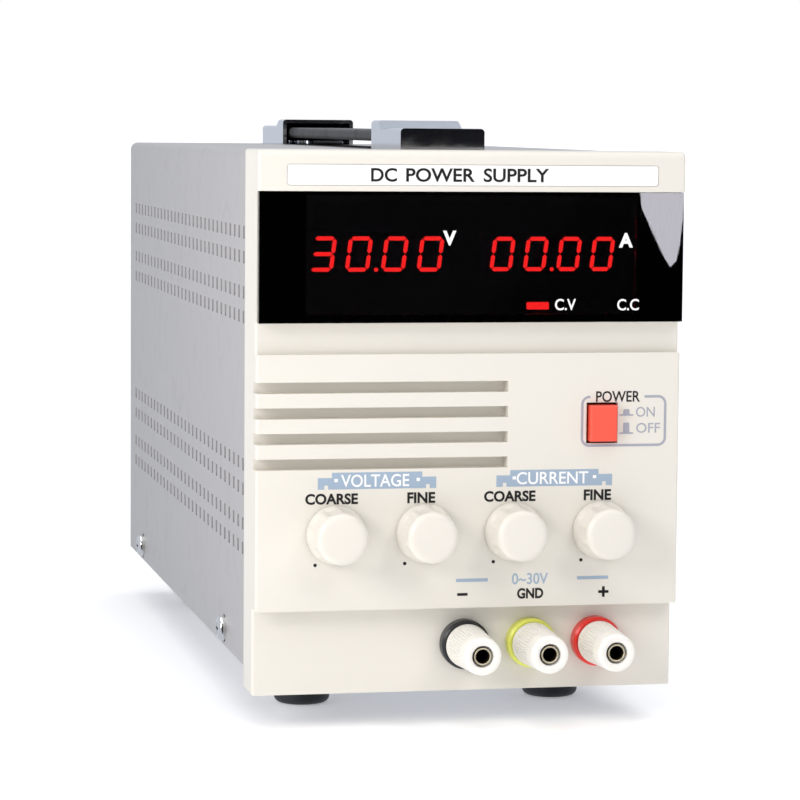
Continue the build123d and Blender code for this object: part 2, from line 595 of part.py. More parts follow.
def rear_panel():
    """The rear sheet, with openings for fan, mains inlet and fuse holder."""
    panel = folded_panel(REAR_PANEL_FRONT_Y, REAR_PANEL_FRONT_Y - FLANGE_REACH)
    low, high = REAR_PANEL_FRONT_Y - 1, REAR_PANEL_Y + 1
    cuts = [rod(FAN_DUCT_R, low, high, 0, FAN_Z)]
    for x, z in FAN_CORNERS:
        cuts.append(rod(SCREW_R + SCREW_CLEARANCE, low, high, x, z))
    half = [INLET_BODY[0] / 2 + SLIDE_CLEARANCE, INLET_BODY[1] / 2 + SLIDE_CLEARANCE]
    cuts.append(block(INLET_X - half[0], INLET_X + half[0], low, high, INLET_Z - half[1], INLET_Z + half[1]))
    for side in (-1, 1):
        cuts.append(rod(SMALL_SCREW_R, low, high, INLET_X + side * INLET_SCREW_SPACING / 2, INLET_Z))
    cuts.append(rod(FUSE_BODY_R + SLIDE_CLEARANCE, low, high, FUSE_X, FUSE_Z))
    for x, y in flange_screw_places()[2:]:
        cuts.append(post(SMALL_SCREW_R + SCREW_CLEARANCE, 0, FLOOR_TOP_Z + 2 * CHASSIS_SHEET, x, y))
    return panel - cuts


def cover_screws():
    """Four bright screws, two in each side of the cover."""
    screws = []
    for side in (-1, 1):
        for y in COVER_SCREWS_Y:
            screw = pan_screw(SCREW_R, COVER_SCREW_LENGTH, SCREW_HEAD_R, SCREW_HEAD_H)
            screws.append(Pos(side * COVER_HALF, y, COVER_SCREW_Z) * Rot(0, side * 90, 0) * screw)
    return screws


def chassis_screws():
    """The M4 screws of the bezel, the feet, the transformer bracket and the handle."""
    screws = [Pos(x, CHASSIS_SHEET, z) * FACING_BACK * chassis_screw() for x, z in BOSSES]
    head_z = -FOOT_DROP + FOOT_COUNTERBORE
    screws += [Pos(x, y, head_z) * FACING_DOWN * chassis_screw() for x, y in FEET]
    foot_top_z = FLOOR_TOP_Z + BRACKET_SHEET
    bracket_screw_length = BRACKET_SHEET + CHASSIS_SHEET + BRACKET_SCREW_TAIL
    bracket_screw = pan_screw(SCREW_R, bracket_screw_length, SCREW_HEAD_R, SCREW_HEAD_H)
    screws += [Pos(x, y, foot_top_z) * bracket_screw for x, y in transformer_screw_places()]
    under_top_z = COVER_TOP_Z - COVER_SHEET
    handle_screw = pan_screw(SCREW_R, HANDLE_SCREW_LENGTH, SCREW_HEAD_R, SCREW_HEAD_H)
    screws += [Pos(0, y, under_top_z) * FACING_DOWN * handle_screw for y in handle_screws_y()]
    return screws


def board_screws():
    """The M3 screws of the three boards, the switch, the inlet and the two flanges."""
    display_y = DISPLAY_BOARD_Y + BOARD_THICK
    screws = [Pos(x, display_y, z) * FACING_BACK * small_screw() for x, z in DISPLAY_BOSSES]
    control_y = CONTROL_INNER_Y + POT_DEPTH + BOARD_THICK
    screws += [Pos(x, control_y, z) * FACING_BACK * small_screw() for x, z in CONTROL_BOSSES]
    ear_y = CONTROL_INNER_Y + SWITCH_BOSS_LENGTH + SWITCH_EAR_THICK
    screws += [Pos(x, ear_y, z) * FACING_BACK * small_screw() for x, z in SWITCH_BOSSES]
    screws += [Pos(x, y, BOARD_TOP_Z) * small_screw() for x, y in spacer_places()]
    screws += [Pos(x, y, FLOOR_TOP_Z + CHASSIS_SHEET) * small_screw() for x, y in flange_screw_places()]
    flange_y = REAR_PANEL_Y + INLET_FLANGE[2]
    screws += [Pos(INLET_X + side * INLET_SCREW_SPACING / 2, flange_y, INLET_Z) * FACING_BACK * small_screw()
               for side in (-1, 1)]
    return screws


def rubber_feet():
    """Four round rubber feet, each with a counterbore for its screw."""
    feet = []
    for x, y in FEET:
        cone = Cone(FOOT_BOTTOM_R, FOOT_R, COVER_BOTTOM_Z + FOOT_DROP)
        foot = Pos(x, y, (COVER_BOTTOM_Z - FOOT_DROP) / 2) * cone
        foot = fillet(foot.edges().sort_by(Axis.Z)[0], FOOT_ROUND)
        foot -= post(FOOT_COUNTERBORE_R, -FOOT_DROP - 1, -FOOT_DROP + FOOT_COUNTERBORE, x, y)
        foot -= post(SCREW_R + SCREW_CLEARANCE, -FOOT_DROP, COVER_BOTTOM_Z + 1, x, y)
        feet.append(foot)
    return feet


# ------------------------------------------------------------------ handle
def handle_screws_y():
    """Where the two handle screws pass through the cover."""
    return (HANDLE_FRONT_Y + HANDLE_SCREW_IN, HANDLE_FRONT_Y + HANDLE_SPAN - HANDLE_SCREW_IN)


def handle_cap():
    """One plated end cap: low at its outer end, raised where the strap enters, open below."""
    half = HANDLE_CAP_WIDTH / 2
    outline = [(0, 0), (0, HANDLE_LOW), (HANDLE_RAMP_START, HANDLE_LOW), (HANDLE_RAMP_END, HANDLE_HIGH),
               (HANDLE_CAP_LENGTH, HANDLE_HIGH), (HANDLE_CAP_LENGTH, 0)]
    cap = prism(outline, half)
    side_edges = [e for e in cap.edges()
                  if abs(abs(e.center().X) - half) < 0.001 and e.center().Z > HANDLE_LOW - 0.01]
    cap = fillet(side_edges, HANDLE_ROUND)
    wall = HANDLE_WALL
    shift = HANDLE_RAMP_SHIFT
    cavity = [(wall, -1), (wall, HANDLE_LOW - wall), (HANDLE_RAMP_START + shift, HANDLE_LOW - wall),
              (HANDLE_RAMP_END + shift, HANDLE_HIGH - wall), (HANDLE_CAP_LENGTH + 1, HANDLE_HIGH - wall),
              (HANDLE_CAP_LENGTH + 1, -1)]
    cap -= prism(cavity, half - wall)
    cap += post(HANDLE_BOSS_R, 0, HANDLE_LOW - wall + 0.1, 0, HANDLE_SCREW_IN)
    cap -= post(SCREW_R, -1, HANDLE_LOW - wall, 0, HANDLE_SCREW_IN)
    return cap


def handle_end_caps():
    """The front cap, and the same cap turned round at the rear."""
    return [Pos(0, HANDLE_FRONT_Y, COVER_TOP_Z) * handle_cap(),
            Pos(0, HANDLE_FRONT_Y + HANDLE_SPAN, COVER_TOP_Z) * Rot(0, 0, 180) * handle_cap()]


def handle_strap():
    """The flexible strap, running from inside one cap to inside the other."""
    start = HANDLE_FRONT_Y + HANDLE_CAP_LENGTH - STRAP_REACH
    end = HANDLE_FRONT_Y + HANDLE_SPAN - HANDLE_CAP_LENGTH + STRAP_REACH
    thick = STRAP_THICK
    low = COVER_TOP_Z + HANDLE_LOW - HANDLE_WALL - thick - STRAP_ROOM
    high = COVER_TOP_Z + STRAP_LIFT
    flat = HANDLE_RAMP_START - HANDLE_CAP_LENGTH + STRAP_REACH + STRAP_EASE
    ramp = HANDLE_RAMP_END - HANDLE_CAP_LENGTH + STRAP_REACH + STRAP_EASE
    outline = [(start, low), (start + flat, low), (start + ramp, high), (end - ramp, high), (end - flat, low),
               (end, low), (end, low + thick), (end - flat, low + thick), (end - ramp, high + thick),
               (start + ramp, high + thick), (start + flat, low + thick), (start, low + thick)]
    strap = prism(outline, STRAP_WIDTH / 2)
    long_edges = [e for e in strap.edges() if abs(abs(e.center().X) - STRAP_WIDTH / 2) < 0.001
                  and abs(e.center().Y - (start + end) / 2) < 1]
    strap = fillet(long_edges, STRAP_ROUND)
    slot = extrude(SlotOverall(STRAP_SLOT[1], STRAP_SLOT[0], rotation=90), 2 * thick, both=True)
    for y, inward in zip(handle_screws_y(), (1, -1)):
        middle_y = y + inward * (STRAP_SLOT[1] / 2 - HANDLE_BOSS_R - STRAP_ROOM)
        strap -= Pos(0, middle_y, low) * slot
    return strap


# ------------------------------------------------------------------ display
def display_window():
    """The smoked pane."""
    half = HALF_WIDTH - WINDOW_EDGE
    return block(-half, half, SEAT_FRONT_Y - WINDOW_THICK, SEAT_FRONT_Y,
                 STRIP_TOP + WINDOW_EDGE, WINDOW_TOP - WINDOW_CLEARANCE)


def label_strip():
    """The printed inlay above the window."""
    half_gap = WINDOW_CLEARANCE
    face = RectangleRounded(CASE_WIDTH - 2 * (LABEL_MARGIN + half_gap), LABEL_HEIGHT - 2 * half_gap,
                            LABEL_CORNER_R - half_gap)
    sheet = extrude(face, LABEL_THICK - LABEL_SINK)
    return Pos(0, -HEAD_DEPTH + LABEL_THICK, LABEL_CENTRE_Z) * Rot(90, 0, 0) * sheet


def display_board():
    """The board that carries the digit modules and the indicators."""
    half, half_high = DISPLAY_BOARD[0] / 2, DISPLAY_BOARD[1] / 2
    middle_z = DIGIT_Z - DISPLAY_BOARD_DROP
    board = block(-half, half, DISPLAY_BOARD_Y, DISPLAY_BOARD_Y + BOARD_THICK,
                  middle_z - half_high, middle_z + half_high)
    hole_r = SMALL_SCREW_R + SCREW_CLEARANCE
    return board - [rod(hole_r, DISPLAY_BOARD_Y - 1, 0, x, z) for x, z in DISPLAY_BOSSES]


def digit_modules():
    """The two four-digit light modules standing on the display board."""
    wide, high, deep = DIGIT_MODULE
    return [block(x - wide / 2, x + wide / 2, DISPLAY_BOARD_Y - deep, DISPLAY_BOARD_Y,
                  DIGIT_Z - high / 2, DIGIT_Z + high / 2) for x in DIGIT_CENTRES_X]


def indicator_lights():
    """The two small rectangular lights below the digits."""
    wide, high, deep = INDICATOR_SIZE
    return [block(x - wide / 2, x + wide / 2, DISPLAY_BOARD_Y - deep, DISPLAY_BOARD_Y,
                  INDICATOR_Z - high / 2, INDICATOR_Z + high / 2) for x in INDICATORS_X]


# ------------------------------------------------------------------ knobs and potentiometers
def knob(x):
    """A fluted, slightly conical knob with a hollow skirt and a D-shaped bore."""
    back_y = FRONT_Y - KNOB_GAP
    front_y = back_y - KNOB_LENGTH
    body = taper(KNOB_FACE_R, KNOB_BASE_R, front_y, back_y)
    body = fillet(body.edges().sort_by(Axis.Y)[0], KNOB_FACE_ROUND)
    lean = math.degrees(math.atan((KNOB_BASE_R - KNOB_FACE_R) / KNOB_LENGTH))
    flute = Pos(KNOB_FACE_R + FLUTE_R - FLUTE_DEPTH, front_y, 0) * Rot(0, 0, -lean) * Rot(90, 0, 0) \
        * Cylinder(FLUTE_R, 2 * (KNOB_LENGTH - KNOB_SKIRT_DEPTH / 2))
    body -= [Rot(0, i * 360 / FLUTE_COUNT, 0) * flute for i in range(FLUTE_COUNT)]
    body -= rod(KNOB_BASE_R - KNOB_SKIRT_WALL, back_y - KNOB_SKIRT_DEPTH, back_y + 1)
    bore = rod(SHAFT_R + SCREW_SEAT, front_y + KNOB_BORE_END, back_y)
    bore -= block(-SHAFT_R - 1, SHAFT_R + 1, front_y, back_y, SHAFT_FLAT + SCREW_SEAT, SHAFT_R + 1)
    body -= bore
    return Pos(x, 0, KNOB_Z) * body


def knob_shaft(x):
    """The potentiometer's shaft, with a flat where the knob sits."""
    tip_y = FRONT_Y - KNOB_GAP - KNOB_LENGTH + KNOB_BORE_END + 0.3
    shaft = rod(SHAFT_R, tip_y, CONTROL_INNER_Y + SHAFT_SEAT)
    flat_end_y = FRONT_Y - KNOB_GAP - KNOB_SKIRT_DEPTH
    shaft -= block(-SHAFT_R - 1, SHAFT_R + 1, tip_y - 1, flat_end_y, SHAFT_FLAT, SHAFT_R + 1)
    return Pos(x, 0, KNOB_Z) * shaft


def potentiometers():
    """Four potentiometer bodies with their threaded bushings."""
    bodies = []
    for x in KNOBS_X:
        body = rod(POT_R, CONTROL_INNER_Y, CONTROL_INNER_Y + POT_DEPTH, x, KNOB_Z)
        body += rod(BUSHING_R, CONTROL_INNER_Y - BUSHING_LENGTH, CONTROL_INNER_Y + 0.1, x, KNOB_Z)
        bore_end = CONTROL_INNER_Y + SHAFT_SEAT + 4 * FACE_GAP
        body -= rod(SHAFT_R + RUNNING_CLEARANCE, CONTROL_INNER_Y - BUSHING_LENGTH - 1, bore_end, x, KNOB_Z)
        bodies.append(body)
    return bodies


def potentiometer_nuts():
    """The nuts that hold the bushings to the bezel, hidden under the knobs."""
    bore_r = BUSHING_R + RUNNING_CLEARANCE
    return [hexagon_nut(POT_NUT_FLATS, POT_NUT_THICK, bore_r, FRONT_Y - POT_NUT_THICK, x, KNOB_Z)
            for x in KNOBS_X]


def control_board():
    """The board behind the potentiometers."""
    y = CONTROL_INNER_Y + POT_DEPTH
    wide, high = CONTROL_BOARD
    board = block(-wide / 2, wide / 2, y, y + BOARD_THICK, KNOB_Z - high / 2, KNOB_Z + high / 2)
    hole_r = SMALL_SCREW_R + SCREW_CLEARANCE
    return board - [rod(hole_r, y - 1, y + BOARD_THICK + 1, x, z) for x, z in CONTROL_BOSSES]


# ------------------------------------------------------------------ power button and switch
def power_button():
    """The push button and its stem, latched in."""
    half_x, half_z = BUTTON_SIZE[0] / 2, BUTTON_SIZE[1] / 2
    front_y = FRONT_Y - BUTTON_STAND
    button = block(BUTTON_X - half_x, BUTTON_X + half_x, front_y, front_y + BUTTON_BLOCK,
                   BUTTON_Z - half_z, BUTTON_Z + half_z)
    button = fillet(button.edges().group_by(Axis.Y)[0], 0.6)
    stem = STEM_SIDE / 2
    button += block(BUTTON_X - stem, BUTTON_X + stem, front_y + BUTTON_BLOCK - 0.1,
                    front_y + BUTTON_BLOCK + STEM_LENGTH, BUTTON_Z - stem, BUTTON_Z + stem)
    return button


def power_switch_body():
    """The latching mains switch behind the button, with an ear above and below."""
    wide, deep, high = SWITCH_SIZE
    y0 = CONTROL_INNER_Y + SWITCH_BOSS_LENGTH
    x0, x1 = BUTTON_X - wide / 2, BUTTON_X + wide / 2
    body = block(x0, x1, y0, y0 + deep, BUTTON_Z - high / 2, BUTTON_Z + high / 2)
    ear = high / 2 + SWITCH_EAR_REACH
    body += block(x0, x1, y0, y0 + SWITCH_EAR_THICK, BUTTON_Z - ear, BUTTON_Z + ear)
    stem = STEM_SIDE / 2 + STEM_CLEARANCE
    stem_end = FRONT_Y - BUTTON_STAND + BUTTON_BLOCK + STEM_LENGTH + 1.0
    body -= block(BUTTON_X - stem, BUTTON_X + stem, y0 - 1, stem_end, BUTTON_Z - stem, BUTTON_Z + stem)
    body -= [rod(SMALL_SCREW_R, y0 - 1, y0 + SWITCH_EAR_THICK + 1, x, z) for x, z in SWITCH_BOSSES]
    return body


# ------------------------------------------------------------------ binding posts
def post_collar(x):
    """The coloured collar in front of the bezel, with a spigot through its wall."""
    front_y = -TERMINAL_DEPTH - COLLAR_LENGTH
    collar = rod(COLLAR_R, front_y, -TERMINAL_DEPTH)
    collar = chamfer(collar.edges().sort_by(Axis.Y)[0], COLLAR_BEVEL)
    collar += rod(COLLAR_SPIGOT_R, -TERMINAL_DEPTH - 0.1, TERMINAL_INNER_Y)
    outer, inner, depth = COLLAR_GROOVE
    groove = rod(COLLAR_R - outer, front_y - 1, front_y + depth)
    groove -= rod(COLLAR_R - inner, front_y - 2, front_y + 2)
    collar -= groove
    collar -= rod(STUD_R + RUNNING_CLEARANCE, front_y - 1, TERMINAL_INNER_Y + 1)
    return Pos(x, 0, POST_Z) * collar


def clamp_washer(x):
    """The plated washer that clamps a bare wire, carried by the cap."""
    y0 = CAP_REAR_Y + FACE_GAP
    hole = rod(STUD_R + RUNNING_CLEARANCE, y0 - 1, y0 + 2 * WASHER_THICK, x, POST_Z)
    return rod(WASHER_R, y0, y0 + WASHER_THICK, x, POST_Z) - hole


def screw_cap(x):
    """The white ribbed cap that screws along the stud."""
    cap = taper(CAP_FRONT_R, CAP_REAR_R, CAP_FRONT_Y, CAP_REAR_Y)
    cap = fillet(cap.edges().sort_by(Axis.Y)[0], CAP_NOSE_ROUND)
    lean = math.degrees(math.atan((CAP_REAR_R - CAP_FRONT_R) / CAP_LENGTH))
    rib_r = CAP_RIB_R
    middle_r = (CAP_FRONT_R + CAP_REAR_R) / 2
    groove = Pos(middle_r + rib_r - CAP_RIB_DEPTH, (CAP_FRONT_Y + CAP_REAR_Y) / 2, 0) * Rot(0, 0, -lean) \
        * Rot(90, 0, 0) * Cylinder(rib_r, CAP_LENGTH - CAP_PLAIN_ENDS)
    cap -= [Rot(0, i * 360 / CAP_RIBS, 0) * groove for i in range(CAP_RIBS)]
    cap -= rod(CAP_MOUTH_R, CAP_FRONT_Y - 1, CAP_FRONT_Y + CAP_MOUTH_DEPTH)
    cap -= rod(STUD_R + RUNNING_CLEARANCE, CAP_FRONT_Y, CAP_REAR_Y + 1)
    return Pos(x, 0, POST_Z) * cap


def post_studs():
    """Three plated studs, each bored at the front for a 4 mm plug."""
    studs = []
    for x in POST_X:
        stud = rod(STUD_R, STUD_FRONT_Y, STUD_BACK_Y, x, POST_Z)
        stud -= rod(BANANA_BORE_R, STUD_FRONT_Y - 1, STUD_FRONT_Y + BANANA_DEPTH, x, POST_Z)
        studs.append(stud)
    return studs


def post_insulators():
    """The insulating washers behind the wall of the bezel."""
    y0 = TERMINAL_INNER_Y
    return [rod(INSULATOR_R, y0, y0 + INSULATOR_THICK, x, POST_Z)
            - rod(STUD_R + RUNNING_CLEARANCE, y0 - 1, y0 + INSULATOR_THICK + 1, x, POST_Z) for x in POST_X]


def post_nuts():
    """Two nuts on each stud, one each side of the solder lug."""
    nuts = []
    for x in POST_X:
        for y0 in (TERMINAL_INNER_Y + INSULATOR_THICK, LUG_Y + LUG_THICK):
            nuts.append(hexagon_nut(POST_NUT_FLATS, POST_NUT_THICK, STUD_R + SCREW_SEAT, y0, x, POST_Z))
    return nuts


def solder_lugs():
    """The flat tags that take the output leads."""
    lugs = []
    for x in POST_X:
        lug = rod(LUG_R, LUG_Y, LUG_Y + LUG_THICK, x, POST_Z)
        lug += block(x - LUG_HALF, x + LUG_HALF, LUG_Y, LUG_Y + LUG_THICK, POST_Z, POST_Z + LUG_RISE)
        lugs.append(lug - rod(STUD_R + RUNNING_CLEARANCE, LUG_Y - 1, LUG_Y + 2, x, POST_Z))
    return lugs


# ------------------------------------------------------------------ inside the case
def transformer_centre_x():
    """The bracket's left foot stands beside the tray's flange."""
    return -CHASSIS_INNER_HALF + BRACKET_SIDE_GAP + BRACKET_FOOT + BRACKET_SHEET + CORE_SIZE[0] / 2


def transformer_screw_places():
    """Two screws in each foot of the bracket."""
    out = CORE_SIZE[0] / 2 + BRACKET_SHEET + BRACKET_FOOT / 2
    return [(transformer_centre_x() + side * out, TRANSFORMER_Y + along * BRACKET_DEPTH / 4)
            for side in (-1, 1) for along in (-1, 1)]


def transformer_core():
    """The stack of E and I laminations, one block with its two windows."""
    wide, deep, high = CORE_SIZE
    x, z0 = transformer_centre_x(), FLOOR_TOP_Z
    core = block(x - wide / 2, x + wide / 2, TRANSFORMER_Y - deep / 2, TRANSFORMER_Y + deep / 2,
                 z0, z0 + high)
    for side in (-1, 1):
        near = x + side * CORE_LEG / 2
        far = x + side * (wide / 2 - CORE_YOKE)
        core -= block(min(near, far), max(near, far), TRANSFORMER_Y - deep, TRANSFORMER_Y + deep,
                      z0 + CORE_YOKE, z0 + high - CORE_YOKE)
    return core


def transformer_coil():
    """The wound bobbin around the middle leg."""
    wide, deep, high = CORE_SIZE
    x, z0 = transformer_centre_x(), FLOOR_TOP_Z
    gap = COIL_CLEARANCE
    half_x = wide / 2 - CORE_YOKE - gap
    half_y = deep / 2 + COIL_OVERHANG
    coil = block(x - half_x, x + half_x, TRANSFORMER_Y - half_y, TRANSFORMER_Y + half_y,
                 z0 + CORE_YOKE + gap, z0 + high - CORE_YOKE - gap)
    coil = fillet(coil.edges().filter_by(Axis.Z), COIL_ROUND)
    leg = CORE_LEG / 2 + gap
    return coil - block(x - leg, x + leg, TRANSFORMER_Y - deep / 2 - gap, TRANSFORMER_Y + deep / 2 + gap,
                        z0, z0 + high)


def transformer_bracket():
    """The sheet strap over the core, with a foot on each side."""
    wide, _, high = CORE_SIZE
    x, z0 = transformer_centre_x(), FLOOR_TOP_Z
    half_y = BRACKET_DEPTH / 2
    out = wide / 2 + BRACKET_SHEET
    y0, y1 = TRANSFORMER_Y - half_y, TRANSFORMER_Y + half_y
    strap = block(x - out, x + out, y0, y1, z0, z0 + high + BRACKET_SHEET)
    strap += block(x - out - BRACKET_FOOT, x + out + BRACKET_FOOT, y0, y1,
                   z0, z0 + BRACKET_SHEET)
    strap -= block(x - wide / 2, x + wide / 2, y0 - 1, y1 + 1, z0 - 1, z0 + high)
    hole_r, hole_top = SCREW_R + SCREW_CLEARANCE, z0 + 2 * BRACKET_SHEET
    return strap - [post(hole_r, z0 - 1, hole_top, px, py) for px, py in transformer_screw_places()]


def spacer_places():
    """The four corners of the main board."""
    return [(side * (MAIN_BOARD[0] / 2 - SPACER_INSET), y) for side in (-1, 1)
            for y in (BOARD_FRONT_Y + SPACER_INSET, BOARD_REAR_Y - SPACER_INSET)]


def board_spacers():
    """The four spacers under the main board."""
    return [post(SPACER_R, FLOOR_TOP_Z, FLOOR_TOP_Z + SPACER_HEIGHT, x, y)
            - post(SMALL_SCREW_R, FLOOR_TOP_Z - 1, FLOOR_TOP_Z + SPACER_HEIGHT + 1, x, y)
            for x, y in spacer_places()]


def main_board():
    """The power board on its spacers."""
    half = MAIN_BOARD[0] / 2
    board = block(-half, half, BOARD_FRONT_Y, BOARD_REAR_Y, BOARD_TOP_Z - BOARD_THICK, BOARD_TOP_Z)
    hole_r = SMALL_SCREW_R + SCREW_CLEARANCE
    return board - [post(hole_r, 0, BOARD_TOP_Z + 1, x, y) for x, y in spacer_places()]


def main_board_parts():
    """Two large capacitors and the block that takes the output leads, standing on the main board."""
    y = BOARD_FRONT_Y + CAPACITOR_Y_IN
    parts = [terminal_block()]
    for x in CAPACITORS_X:
        can = post(CAPACITOR_R, BOARD_TOP_Z, BOARD_TOP_Z + CAPACITOR_HEIGHT, x, y)
        parts.append(fillet(can.edges().filter_by(GeomType.CIRCLE), CAN_ROUND))
    return parts


def lead_ends_x():
    """Where the output leads meet the terminal block, evenly along it."""
    right = CHASSIS_INNER_HALF - LEAD_WALL_GAP
    return [right - (2 - i) * LEAD_PITCH for i in range(3)]


def terminal_block():
    """The block on the main board that takes the output leads."""
    middle = lead_ends_x()[1]
    long_x, deep, high = TERMINAL_BLOCK
    x1 = min(middle + long_x / 2, MAIN_BOARD[0] / 2)
    y0 = BOARD_FRONT_Y + 2 * SPACER_INSET + 1
    return block(x1 - long_x, x1, y0, y0 + deep, BOARD_TOP_Z, BOARD_TOP_Z + high)


def output_leads():
    """Three leads from the solder lugs, along the right wall, to the terminal block."""
    leads = []
    z_lug = POST_Z + LUG_RISE - LEAD_LUG_DROP
    z_end = BOARD_TOP_Z + TERMINAL_BLOCK[2] / 2
    y_end = BOARD_FRONT_Y + 2 * SPACER_INSET + 1
    y_start = LUG_Y + LUG_THICK
    for i, x in enumerate(POST_X):
        x_end = lead_ends_x()[i]
        turn_y = y_start + LEAD_RUN - LEAD_RUN_STEP * i
        reach = x_end - x
        slope_y = turn_y + max(reach, LEAD_LEAST_REACH) * LEAD_SLOPE
        route = [(x, y_start, z_lug), (x, turn_y, z_lug), (x_end, slope_y, z_end),
                 (x_end, y_end, z_end)]
        path = FilletPolyline(*route, radius=LEAD_BEND_R)
        section = Plane(origin=path @ 0, z_dir=path % 0) * Circle(LEAD_R)
        leads.append(sweep(section, path=path))
    return leads


def heatsink():
    """An upright aluminium plate with fins towards the fan."""
    wide, thick, high = HEATSINK_SIZE
    tip_y = BOARD_REAR_Y - HEATSINK_REAR_IN
    back_y = tip_y - HEATSINK_FIN_LENGTH
    sink = block(-wide / 2, wide / 2, back_y - thick, back_y, BOARD_TOP_Z, BOARD_TOP_Z + high)
    step = (wide - HEATSINK_FIN_THICK) / (HEATSINK_FINS - 1)
    for i in range(HEATSINK_FINS):
        x = -wide / 2 + i * step
        sink += block(x, x + HEATSINK_FIN_THICK, back_y - 0.1, tip_y,
                      BOARD_TOP_Z + HEATSINK_FIN_LIFT, BOARD_TOP_Z + high)
    return sink


def power_transistors():
    """The transistors against the front of the heatsink plate."""
    wide, thick, high = TRANSISTOR_SIZE
    y1 = BOARD_REAR_Y - HEATSINK_REAR_IN - HEATSINK_FIN_LENGTH - HEATSINK_SIZE[1]
    z0 = BOARD_TOP_Z + TRANSISTOR_LIFT
    devices = []
    for i in range(TRANSISTOR_COUNT):
        x = (i - (TRANSISTOR_COUNT - 1) / 2) * TRANSISTOR_PITCH
        device = block(x - wide / 2, x + wide / 2, y1 - thick, y1, z0, z0 + high)
        for leg in (-1, 0, 1):
            leg_x = x + leg * TRANSISTOR_LEG_PITCH
            device += block(leg_x - TRANSISTOR_LEG_HALF, leg_x + TRANSISTOR_LEG_HALF,
                            y1 - TRANSISTOR_LEG_IN[0], y1 - TRANSISTOR_LEG_IN[1], BOARD_TOP_Z, z0 + 0.1)
        devices.append(device)
    return devices


# ------------------------------------------------------------------ rear panel pieces
def fan_frame():
    """The square fan housing with its round duct, motor plate and four struts."""
    half = FAN_SIZE / 2
    frame = block(-half, half, FAN_FRONT_Y, REAR_PANEL_FRONT_Y, FAN_Z - half, FAN_Z + half)
    frame = fillet(frame.edges().filter_by(Axis.Y), FAN_CORNER_R)
    frame -= rod(FAN_DUCT_R, FAN_FRONT_Y - 1, REAR_PANEL_FRONT_Y + 1, 0, FAN_Z)
    plate_y = REAR_PANEL_FRONT_Y - FAN_STRUT
    spider = rod(FAN_HUB_R, plate_y, REAR_PANEL_FRONT_Y)
    for i in range(4):
        strut = block(0, FAN_DUCT_R + 0.5, plate_y, REAR_PANEL_FRONT_Y, -FAN_STRUT_HALF, FAN_STRUT_HALF)
        spider += Rot(0, 45 + i * 90, 0) * strut
    frame += Pos(0, 0, FAN_Z) * spider
    frame -= [rod(SCREW_R, FAN_FRONT_Y - 1, REAR_PANEL_FRONT_Y + 1, x, z) for x, z in FAN_CORNERS]
    frame += rod(FAN_PIN_R, FAN_FRONT_Y + FAN_PIN_IN, plate_y + 0.1, 0, FAN_Z)
    return frame


def fan_rotor():
    """Hub and blades, running on the pin of the fan frame."""
    y0 = FAN_FRONT_Y + FAN_AXIAL_GAP
    y1 = REAR_PANEL_FRONT_Y - FAN_STRUT - FAN_AXIAL_GAP
    rotor = rod(FAN_HUB_R, y0, y1)
    rotor = fillet(rotor.edges().sort_by(Axis.Y)[0], FAN_RIM_ROUND)
    tip = FAN_DUCT_R - FAN_TIP_GAP
    depth = y1 - y0
    chord = (depth - 2 * FAN_RIM_ROUND) / math.cos(math.radians(FAN_BLADE_ANGLE))
    ring = rod(tip, y0 + FAN_BLADE_INSET, y1 - FAN_BLADE_INSET) - rod(FAN_HUB_R - FAN_BLADE_ROOT, y0, y1)
    for i in range(FAN_BLADES):
        blade = Pos(tip / 2, (y0 + y1) / 2, 0) * Rot(FAN_BLADE_ANGLE, 0, 0) * Box(tip, chord, FAN_BLADE_THICK)
        blade = Rot(0, i * 360 / FAN_BLADES, 0) * (blade & ring)
        rotor += blade
    rotor -= rod(FAN_PIN_R + RUNNING_CLEARANCE, FAN_FRONT_Y + FAN_PIN_IN - FAN_PIN_ROOM, y1 + 1)
    return Pos(0, 0, FAN_Z) * rotor


def fan_guard():
    """The wire guard: rings, two crossing bars and four eyes."""
    y_ring = REAR_PANEL_Y + GUARD_STAND + GUARD_WIRE_R
    y_bar = REAR_PANEL_Y + GUARD_STAND - GUARD_WIRE_R * GUARD_BITE
    guard = None
    for radius in GUARD_RINGS_R:
        ring = Pos(0, y_ring, 0) * Rot(90, 0, 0) * Torus(radius, GUARD_WIRE_R)
        guard = ring if guard is None else guard + ring
    reach = FAN_HOLE_SPACING / math.sqrt(2)
    for turn in (45, -45):
        bar = Cylinder(GUARD_WIRE_R, 2 * (reach - GUARD_EYE_R + GUARD_BITE))
        guard += Rot(0, turn, 0) * Pos(0, y_bar, 0) * Rot(0, 90, 0) * bar
    for x, z in FAN_CORNERS:
        eye = rod(GUARD_EYE_R, REAR_PANEL_Y, REAR_PANEL_Y + GUARD_STAND, x, z - FAN_Z)
        guard += eye
    hole_r, hole_end = SCREW_R + SCREW_CLEARANCE, REAR_PANEL_Y + 2 * GUARD_STAND
    guard -= [rod(hole_r, REAR_PANEL_Y - 1, hole_end, x, z - FAN_Z) for x, z in FAN_CORNERS]
    return Pos(0, 0, FAN_Z) * guard


def fan_screws():
    """Four long screws through guard, panel and fan."""
    head_y = REAR_PANEL_Y + GUARD_STAND
    return [Pos(x, head_y, z) * FACING_BACK * pan_screw(SCREW_R, FAN_SCREW_LENGTH, SCREW_HEAD_R, SCREW_HEAD_H)
            for x, z in FAN_CORNERS]


